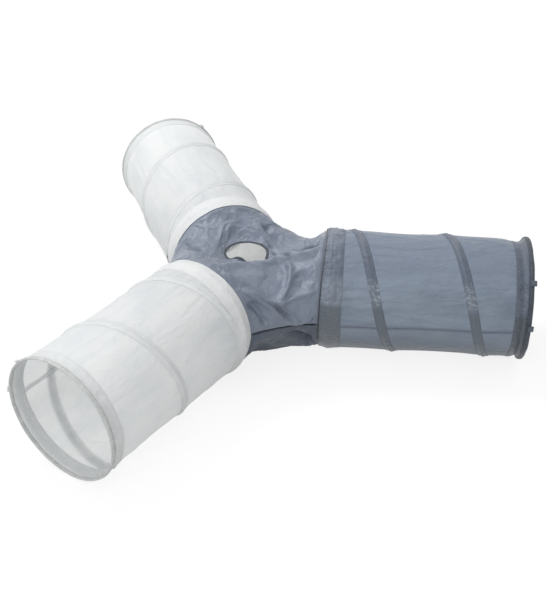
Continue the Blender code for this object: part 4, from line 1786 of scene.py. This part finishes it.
    def relax(self, obj: bpy.types.Object) -> None:
        """Evens a cover out between what holds it, as cloth under tension does."""
        places = points_of(obj)
        one, two = read(obj.data.edges, "vertices", 2, int).T
        count = len(places)
        near = np.bincount(np.concatenate((one, two)), minlength=count)[:, None]
        free = 0.6 * (1.0 - self.pinned(obj))[:, None]
        for _ in range(self.relaxing):
            total = np.stack([np.bincount(one, places[two, axis], count)
                              + np.bincount(two, places[one, axis], count)
                              for axis in range(3)], 1)
            places = places + (total / near - places) * free
        move_points(obj, places)

    def settle(self, obj: bpy.types.Object) -> None:
        """Lets a cover's spare cloth buckle and sag between what holds it."""
        places = points_of(obj)
        group = obj.vertex_groups.new(name="sewn")
        for index, share in enumerate(self.pinned(obj)):
            group.add([index], float(share), "REPLACE")
        modifier = obj.modifiers.new("cloth", "CLOTH")
        for key, value in {
            "quality": 6, "mass": 0.0003, "tension_stiffness": 5.0,
            "compression_stiffness": 5.0, "shear_stiffness": 1.5, "bending_model": "ANGULAR",
            "bending_stiffness": 0.02, "tension_damping": 5.0, "compression_damping": 5.0,
            "shear_damping": 5.0, "bending_damping": 0.5, "air_damping": 2.0,
            "shrink_min": -self.slack, "vertex_group_mass": "sewn",
        }.items():
            setattr(modifier.settings, key, value)
        modifier.collision_settings.use_collision = False
        modifier.collision_settings.use_self_collision = False
        modifier.point_cache.frame_start = 1
        modifier.point_cache.frame_end = self.settle_frames + 1
        stage = bpy.context.scene
        for number in range(1, self.settle_frames + 1):
            stage.frame_set(number)
        pick(obj)
        bpy.ops.object.modifier_apply(modifier=modifier.name)
        stage.frame_set(1)
        obj.vertex_groups.clear()
        moved = points_of(obj) - places
        far = np.maximum(np.linalg.norm(moved, axis=1), 1e-9)
        limited = self.reach_limit * np.tanh(far / self.reach_limit) / far
        move_points(obj, places + moved * limited[:, None])

    def sectors(self, whole: bpy.types.Object) -> dict[str, bpy.types.Object]:
        """Parts a cover in three, one for each arm.

        Args:
            whole: The cover, without thickness.

        Returns:
            Each arm's sector, its borders shaded as if they were still one.
        """
        name = whole.name
        ways = read(whole.data.vertices, "normal", 3)
        keep = whole.data.attributes.new("soft", "FLOAT_VECTOR", "POINT")
        keep.data.foreach_set("vector", ways.ravel().astype(np.float32))
        found = {}
        for number, side in enumerate(self.sides):
            arm = side.first
            pick(whole)
            bpy.ops.object.duplicate()
            obj = bpy.context.object
            obj.name = obj.data.name = f"{name}_{arm.name}"
            marks = read(obj.data.attributes["sector"].data, "value", 1, np.float32)
            corners = read(obj.data.loops, "vertex_index", 1, int)
            starts = read(obj.data.polygons, "loop_start", 1, int)
            totals = read(obj.data.polygons, "loop_total", 1, int)
            own = np.zeros(len(starts), bool)
            for i, (start, total) in enumerate(zip(starts, totals)):
                here = marks[corners[start:start + total]] % 3.0
                if here.max() - here.min() > 1.5:
                    here = np.where(here > 1.5, here - 3.0, here)
                middle = (here.mean() - number) % 3.0
                own[i] = middle < 0.5 or middle > 2.5
            delete_faces(obj, ~own)
            found[arm.name] = obj
        deselect_all()
        bpy.data.objects.remove(whole, do_unlink=True)
        return found

    def bend(
        self, obj: bpy.types.Object, arm: ArmShape, material: bpy.types.Material, slot: str,
        node: str, start: float,
    ) -> None:
        """Finishes a piece that lies between the hub and an arm.

        Args:
            obj: The piece.
            arm: The arm it reaches to.
            material: What it is made of.
            slot: The record's material slot.
            node: The solid it replaces.
            start: How far out along the arm a bend would begin. It is not used.
        """
        dress(obj, material, slot, "", node)
        along = np.array(arm.along)
        tuple(along * (arm.cuff_at - self.bend_end))
        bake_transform(obj)
        self.pieces.append(obj)

    def finish_sector(self, obj: bpy.types.Object, arm: ArmShape, node: str) -> None:
        """Thickens a sector, blends its border's shading and gives it its material."""
        pick(obj)
        bpy.ops.object.mode_set(mode="EDIT")
        bpy.context.tool_settings.mesh_select_mode = (True, False, False)
        bpy.ops.mesh.select_all(action="DESELECT")
        bpy.ops.mesh.select_non_manifold()
        bpy.ops.object.mode_set(mode="OBJECT")
        count = len(obj.data.vertices)
        border = read(obj.data.vertices, "select", 1, bool)
        soft = read(obj.data.attributes["soft"].data, "vector", 3, np.float32)
        soft = soft * border[:, None]
        reach = points_of(obj) @ np.array(arm.along)
        thicken(obj, self.thickness)
        smooth(obj)
        ways = np.concatenate((soft, -soft))
        if len(obj.data.vertices) == 2 * count:
            obj.data.normals_split_custom_set_from_vertices([tuple(w) for w in ways])
        inner = reach[border & (reach < arm.cuff_at - 0.02)]
        start = float(min(inner.max() + 0.001, arm.cuff_at - self.bend_least))
        material = self.cloth if node == "hub_upper_cover" else self.under
        self.bend(obj, arm, material, "hub_cloth", node, start)

    def covers(self) -> None:
        """The upper and lower covers, each in three sectors."""
        for name, node, upper in (("hub_upper", "hub_upper_cover", True),
                                  ("hub_lower", "hub_lower_cover", False)):
            parts = self.sectors(self.cover(name, upper))
            for side in self.sides:
                self.finish_sector(parts[side.first.name], side.first, node)

    def cord(self, name: str, line: Array, radius: float, sides: int = 10) -> bpy.types.Object:
        """A cord along a line of places: a strip rolled round it.

        Args:
            name: The piece's name.
            line: Its places, one row each.
            radius: The cord's radius.
            sides: Faces round it.

        Returns:
            The cord, with closed ends.
        """
        obj = flat_sheet(name, len(line) - 1.0, TURN, len(line) - 1, sides)
        x, y, z = points_of(obj).T
        index = np.round(x).astype(int)
        way = np.gradient(line, axis=0)
        way /= np.linalg.norm(way, axis=1)[:, None]
        side = np.cross(way, (0.0, 0.0, 1.0))
        side /= np.linalg.norm(side, axis=1)[:, None]
        up = np.cross(side, way)
        places = (line[index] + side[index] * (radius * np.cos(y))[:, None]
                  - up[index] * (radius * np.sin(y))[:, None])
        move_points(obj, places)
        weld(obj, 0.00001)
        close_ends(obj)
        face_outward(obj)
        scale_uv(obj, 0.0025, radius)
        smooth(obj)
        return obj

    def welts(self) -> None:
        """The welted seams at half height, each in two halves."""
        for side in self.sides:
            across = np.linspace(0.0, 1.0, 81)
            line = self.side_cloth(side, np.full(81, 0.5), across)
            line = line - self.outward(side) * 0.0005
            line[:, 2] += 0.0004 * Waves(77, 19, 1.0).at(across, across * 0)
            inside = np.array((0.0002, 0.0025))
            first = self.ring(side.first, np.zeros(2), inside)
            second = self.ring(side.second, np.full(2, side.second_angle(0.5)), inside[::-1])
            line = np.concatenate((first, line, second))
            for part, arm in ((line[:43], side.first), (line[42:], side.second)):
                node = f"hub_{side.name}_welt"
                obj = self.cord(f"{node}_{arm.name}", part, 0.0013)
                other = (part[-1] if arm is side.first else part[0]) @ np.array(arm.along)
                start = float(min(other + 0.001, arm.cuff_at - self.bend_least))
                self.bend(obj, arm, self.trim, "hub_trim", node, start)

    def collar_stitches(self, arm: ArmShape) -> None:
        """A row of stitches on the hub's cloth beside a cuff."""
        count = round(TURN * SLEEVE_OUTER / STITCH_PITCH)
        obj = stitch_row(f"hub_{arm.name}_collar_stitches", count, 360.0 / count,
                         STITCH_LONG / DEGREE_ROUND)
        x, y, z = points_of(obj).T
        place = self.ring(arm, x, 0.0040 + y)
        axis = (place @ np.array(arm.along))[:, None] * np.array(arm.along)
        outward = place - axis - (0.0, 0.0, AXIS_HEIGHT)
        outward /= np.linalg.norm(outward, axis=1)[:, None]
        move_points(obj, place + outward * (z + 0.0002)[:, None])
        smooth(obj)
        dress(obj, self.thread, "hub_trim", f"{arm.name}_arm")
        self.pieces.append(obj)

    def peephole(self) -> None:
        """The binding: a strip rolled into a flat cord round the hole's edge."""
        width, height = self.binding
        obj = flat_sheet("hub_peephole_tape", TURN, TURN, 180, 14)
        x, y, z = points_of(obj).T
        flat = np.sign(np.cos(y)) * np.abs(np.cos(y)) ** 0.8
        out = self.hole_radius + width / 2 + width / 2 * flat
        places = self.rim(x, out)
        wobble = 0.0005 * Waves(91, 37, 1.0).at(x / TURN, x * 0)
        places[:, 2] += height / 2 * np.sin(y) - 0.0004 + wobble
        move_points(obj, places)
        weld(obj, 0.00001)
        face_outward(obj)
        scale_uv(obj, self.hole_radius, width / math.pi)
        smooth(obj)
        dress(obj, self.trim, "hub_trim", "hub", "hub_peephole_binding")
        self.pieces.append(obj)

    def build(self) -> None:
        """Builds the hub and reports its pieces."""
        self.covers()
        self.welts()
        self.peephole()
        for side in self.sides:
            self.collar_stitches(side.first)
        for piece in self.pieces:
            log.info("%s: %d faces", piece.name, len(piece.data.polygons))


# The folds of the hub's cloth, ridges first and valleys after.
HUB_FOLDS = (
    Fold(((-0.061, -0.127, 0.245), (-0.021, -0.110, 0.238), (0.025, -0.075, 0.215),
          (0.070, -0.039, 0.210), (0.096, -0.037, 0.217), (0.122, -0.037, 0.227),
          (0.141, -0.031, 0.236), (0.165, -0.027, 0.241)), 0.0045, 0.011),
    Fold(((0.091, -0.049, 0.214), (0.102, -0.071, 0.212), (0.102, -0.093, 0.204),
          (0.097, -0.113, 0.194), (0.088, -0.130, 0.184), (0.079, -0.139, 0.181)),
         0.0048, 0.0065),
    Fold(((0.153, -0.106, 0.185), (0.132, -0.115, 0.182), (0.111, -0.124, 0.179),
          (0.091, -0.136, 0.175), (0.078, -0.142, 0.178)), 0.0040, 0.0058),
    Fold(((0.013, -0.156, 0.214), (0.032, -0.155, 0.202), (0.053, -0.154, 0.185),
          (0.070, -0.152, 0.169), (0.092, -0.147, 0.146), (0.113, -0.139, 0.132),
          (0.150, -0.123, 0.127)), 0.0050, 0.0062),
    Fold(((0.072, -0.142, 0.183), (0.091, -0.142, 0.164), (0.110, -0.138, 0.145),
          (0.123, -0.134, 0.131)), 0.0034, 0.0050),
    Fold(((0.056, 0.022, 0.200), (0.066, 0.005, 0.201), (0.082, -0.019, 0.213),
          (0.100, -0.036, 0.218)), -0.0050, 0.0065),
    Fold(((0.036, 0.097, 0.220), (0.044, 0.078, 0.212), (0.056, 0.070, 0.205),
          (0.071, 0.069, 0.199)), -0.0042, 0.0120),
    Fold(((0.039, 0.052, 0.203), (0.053, 0.034, 0.197), (0.067, 0.018, 0.200),
          (0.093, -0.030, 0.218)), -0.0034, 0.0050),
    Fold(((0.096, 0.030, 0.210), (0.109, -0.002, 0.222), (0.119, -0.018, 0.230),
          (0.135, -0.018, 0.235), (0.144, -0.013, 0.239), (0.150, 0.006, 0.242)),
         -0.0080, 0.0090),
    Fold(((0.113, -0.076, 0.213), (0.126, -0.093, 0.206), (0.122, -0.109, 0.192)),
         -0.0040, 0.0120),
    Fold(((0.027, -0.154, 0.207), (0.049, -0.153, 0.191), (0.074, -0.148, 0.173),
          (0.091, -0.144, 0.158), (0.113, -0.138, 0.140), (0.135, -0.130, 0.134)),
         -0.0036, 0.0048),
    Fold(((0.028, -0.164, 0.195), (0.040, -0.166, 0.181), (0.055, -0.167, 0.157),
          (0.064, -0.164, 0.139)), -0.0040, 0.0070),
    Fold(((-0.050, 0.077, 0.239), (-0.034, 0.083, 0.232), (-0.015, 0.078, 0.230),
          (-0.003, 0.071, 0.221)), -0.0006, 0.0070),
    Fold(((-0.132, 0.027, 0.198), (-0.108, -0.004, 0.206), (-0.081, -0.027, 0.214)),
         -0.0036, 0.0070),
    Fold(((0.105, -0.134, 0.099), (0.124, -0.118, 0.079), (0.140, -0.108, 0.065),
          (0.151, -0.087, 0.040)), -0.0080, 0.0120),
)


# ---- The studio -----------------------------------------------------------------------------


@dataclass(frozen=True)
class Studio:
    """A pale floor, soft light and the camera.

    Attributes:
        camera_at: The camera's place.
        heading: Degrees to the left of +Y in which it looks.
        down: Degrees down.
        lens: Its focal length in millimetres on a sensor 36 wide.
        sky: The light that comes from all round.
        lamp: The watts of the lamp overhead.
        front_lamp: The watts of the lamp in front.
        floor_bounce: The grey of the floor as the object's light sees it.
        floor_grey: Its grey as the camera sees it, beside its glow.
        floor_glow: How bright it glows for the camera.
    """

    camera_at: tuple[float, float, float] = (0.2295, -1.7782, 1.280)
    heading: float = 5.5
    down: float = 33.72
    lens: float = 61.24
    sky: float = 0.75
    lamp: float = 36.0
    front_lamp: float = 22.0
    floor_bounce: float = 0.62
    floor_grey: float = 0.20
    floor_glow: float = 0.83

    @staticmethod
    def aim(
        name: str, data: bpy.types.Camera | bpy.types.Light, place: Sequence[float], look: Vector
    ) -> bpy.types.Object:
        """Puts a camera or a lamp in the scene, at a place and looking a way."""
        obj = bpy.data.objects.new(name, data)
        bpy.context.scene.collection.objects.link(obj)
        turn = look.to_track_quat("-Z", "Y").to_matrix().to_4x4()
        obj.matrix_world = Matrix.Translation(place) @ turn
        return obj

    def camera(self) -> None:
        """The camera, at the photograph's angle."""
        data = bpy.data.cameras.new("camera")
        data.lens = self.lens
        data.sensor_width = 36.0
        turn, tilt = math.radians(self.heading), math.radians(self.down)
        look = Vector((-math.sin(turn) * math.cos(tilt), math.cos(turn) * math.cos(tilt),
                       -math.sin(tilt)))
        bpy.context.scene.camera = self.aim("camera", data, self.camera_at, look)

    @staticmethod
    def seen(graph: Graph, *rays: str) -> Amount:
        """1 for rays of the given kinds and 0 for others."""
        path = graph.node("ShaderNodeLightPath")
        share = Amount(graph, path.outputs["Is Camera Ray"])
        for ray in rays:
            share = share.most(Amount(graph, path.outputs[f"Is {ray} Ray"]))
        return share

    def floor(self) -> None:
        """A pale floor that keeps the object's shadow."""
        deselect_all()
        bpy.ops.mesh.primitive_plane_add(size=16.0, location=(0.0, 0.0, -0.0004))
        floor = bpy.context.object
        floor.name = "studio_floor"
        graph = Graph("studio_floor")
        plain, pale = (
            graph.node("ShaderNodeBsdfDiffuse", None, {"Color": (grey, grey, grey, 1.0)})
            for grey in (self.floor_bounce, self.floor_grey))
        glow = graph.node("ShaderNodeEmission", None, {"Strength": self.floor_glow})
        both = graph.node("ShaderNodeAddShader", None, {0: pale.outputs[0], 1: glow.outputs[0]})
        mix = graph.node("ShaderNodeMixShader", None, {
            0: self.seen(graph, "Glossy", "Transmission"), 1: plain.outputs[0],
            2: both.outputs[0]})
        floor.data.materials.append(graph.finish(mix))

    def light(self) -> None:
        """Light from all round, with one wide lamp overhead and one in front."""
        graph = Graph("studio", world=True)
        strength = self.seen(graph, "Glossy") * (1.0 - self.sky) + self.sky
        bpy.context.scene.world = graph.finish(graph.node("ShaderNodeBackground", None, {
            "Color": (1.0, 1.0, 1.0, 1.0), "Strength": strength}))
        for name, place, size, watts in (
            ("lamp_over", (-1.2, 1.0, 2.6), 1.2, self.lamp),
            ("lamp_front", (-1.2, -2.6, 1.7), 1.6, self.front_lamp),
        ):
            data = bpy.data.lights.new(name, "AREA")
            data.shape = "DISK"
            data.size = size
            data.energy = watts
            self.aim(name, data, place, Vector((0.05, 0.0, 0.12)) - Vector(place))

    def build(self) -> None:
        """Sets the studio up."""
        self.camera()
        self.floor()
        self.light()
        bpy.context.scene.view_settings.view_transform = "Standard"


# ---- The whole ------------------------------------------------------------------------------

RIGHT = ArmShape("right", heading=0.0, cuff_at=0.161, length=0.409, coil_start=-56.0, seed=100,
                 sag=0.014, edge_lean=0.007, edge_draw=0.0025, top_draw=0.003, neck=0.0085,
                 ditch=0.0042, wander=4.5, crease=0.0020, gather=0.0034)
BACK = ArmShape("back", heading=115.4, cuff_at=0.123, length=0.471, coil_start=-78.0, seed=200)
FRONT = ArmShape("front", heading=240.1, cuff_at=0.145, length=0.391, coil_start=-56.0, seed=300,
                 sag=0.0085)


def arm_finishes() -> tuple[ArmFinishes, ArmFinishes]:
    """Makes the materials of the white arms and of the blue-grey one."""
    steel = SteelFinish("spring_steel_wire").make()
    round_cut = TURN * SLEEVE_OUTER
    white_tape = TapeFinish("white_tape", (249, 251, 251), (237, 240, 241), 0.5,
                            crinkle=0.0012, sheer=0.4).make()
    white = ArmFinishes(
        ClothFinish("white_taffeta", (250, 252, 253), (228, 235, 239), 0.55, sheer=0.56,
                    crinkle=0.0014, glow=(252, 251, 250), seam_at=round_cut,
                    seam_and_shadow_colour=(186, 190, 193)).make(),
        white_tape,
        TapeFinish("white_cuff", (251, 252, 252), (240, 243, 244), 0.5, crinkle=0.0012,
                   sheer=0.33).make(),
        TapeFinish("grey_piping", (204, 206, 205), (178, 181, 181), 0.6).make(),
        white_tape,
        # The hem's groove is a painted shadow line beside the piping.
        TapeFinish("white_hem", (249, 251, 251), (237, 240, 241), 0.5, crinkle=0.0012,
                   sheer=0.36, groove_shadow_at=0.0245, groove_shadow=(176, 180, 182)).make(),
        ThreadFinish("white_thread", (232, 234, 235), (205, 208, 210)).make(),
        steel, Dress.WHITE)
    blue = ArmFinishes(
        ClothFinish("blue_grey_taffeta", (141, 153, 169), (114, 126, 142), 0.42, sheer=0.12,
                    crinkle=0.0018, glow=(150, 160, 176), low=(112, 120, 132), low_at=0.10,
                    high=(122, 133, 151), seam_at=round_cut, seam_and_shadow_colour=(92, 100, 113)).make(),
        # Its lighter spots are painted highlights, and its darker top and bottom are painted
        # shade.
        TapeFinish("blue_grey_tape", (110, 120, 135), (82, 91, 105), 0.38, painted_highlight=(166, 176, 186),
                   highlight_share=0.85, low=(90, 98, 107), low_at=0.158, high=(78, 88, 105),
                   high_at=0.200, crinkle=0.0014).make(),
        # The cuff's groove is a painted shadow line at its hub edge.
        TapeFinish("blue_grey_cuff", (136, 145, 159), (98, 107, 122), 0.34,
                   low=(86, 94, 101), low_at=0.158, high=(82, 92, 110), high_at=0.205,
                   crinkle=0.0020, groove_shadow_at=0.0424, groove_shadow=(34, 40, 48)).make(),
        TapeFinish("blue_grey_piping", (62, 70, 81), (46, 53, 63), 0.5).make(),
        TapeFinish("blue_grey_ribbon", (84, 93, 105), (68, 76, 88), 0.5).make(),
        # The hem's groove is a painted shadow line beside the piping.
        TapeFinish("blue_grey_hem", (110, 119, 133), (76, 84, 97), 0.38,
                   low=(82, 89, 97), low_at=0.150, high=(84, 94, 110), high_at=0.19,
                   crinkle=0.0018, groove_shadow_at=0.0245, groove_shadow=(48, 54, 64)).make(),
        ThreadFinish("blue_grey_thread", (92, 101, 114), (66, 73, 84)).make(),
        steel, Dress.BLUE_GREY)
    return white, blue


def main() -> None:
    """Builds the tunnel and its studio."""
    logging.basicConfig(level=logging.INFO, format="%(name)s: %(message)s")
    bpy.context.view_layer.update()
    white, blue = arm_finishes()
    for shape, finishes in ((RIGHT, blue), (BACK, white), (FRONT, white)):
        TunnelArm(shape, finishes).build()
    hub_cloth = ClothFinish("hub_taffeta", (126, 135, 151), (107, 116, 131), 0.30,
                            sheen=0.2, crinkle=0.0009, drawn=False).make()
    # The lower cover is the hub's cloth painted darker: a painted shade.
    hub_cloth_in_shade = ClothFinish("hub_taffeta_below", (90, 98, 110), (74, 82, 94), 0.5,
                            sheen=0.0, crinkle=0.0001, drawn=False).make()
    hub_trim = TapeFinish("hub_binding", (62, 69, 80), (46, 52, 62), 0.6).make()
    hub_thread = ThreadFinish("hub_thread", (150, 158, 168), (120, 128, 138)).make()
    sides = (
        HubSide("rear", RIGHT, BACK, sag=0.052, sag_at=0.34, tuck=0.020, tuck_at=0.50),
        HubSide("left", BACK, FRONT, sag=0.034, sag_at=0.50, tuck=0.018, tuck_at=0.50),
        HubSide("front", FRONT, RIGHT, sag=0.035, sag_at=0.56, tuck=0.030, tuck_at=0.42,
                seam_drop=6.5),
    )
    Hub(sides, hub_cloth, hub_cloth_in_shade, hub_trim, hub_thread, HUB_FOLDS).build()
    Studio().build()


if __name__ == "__main__":
    main()
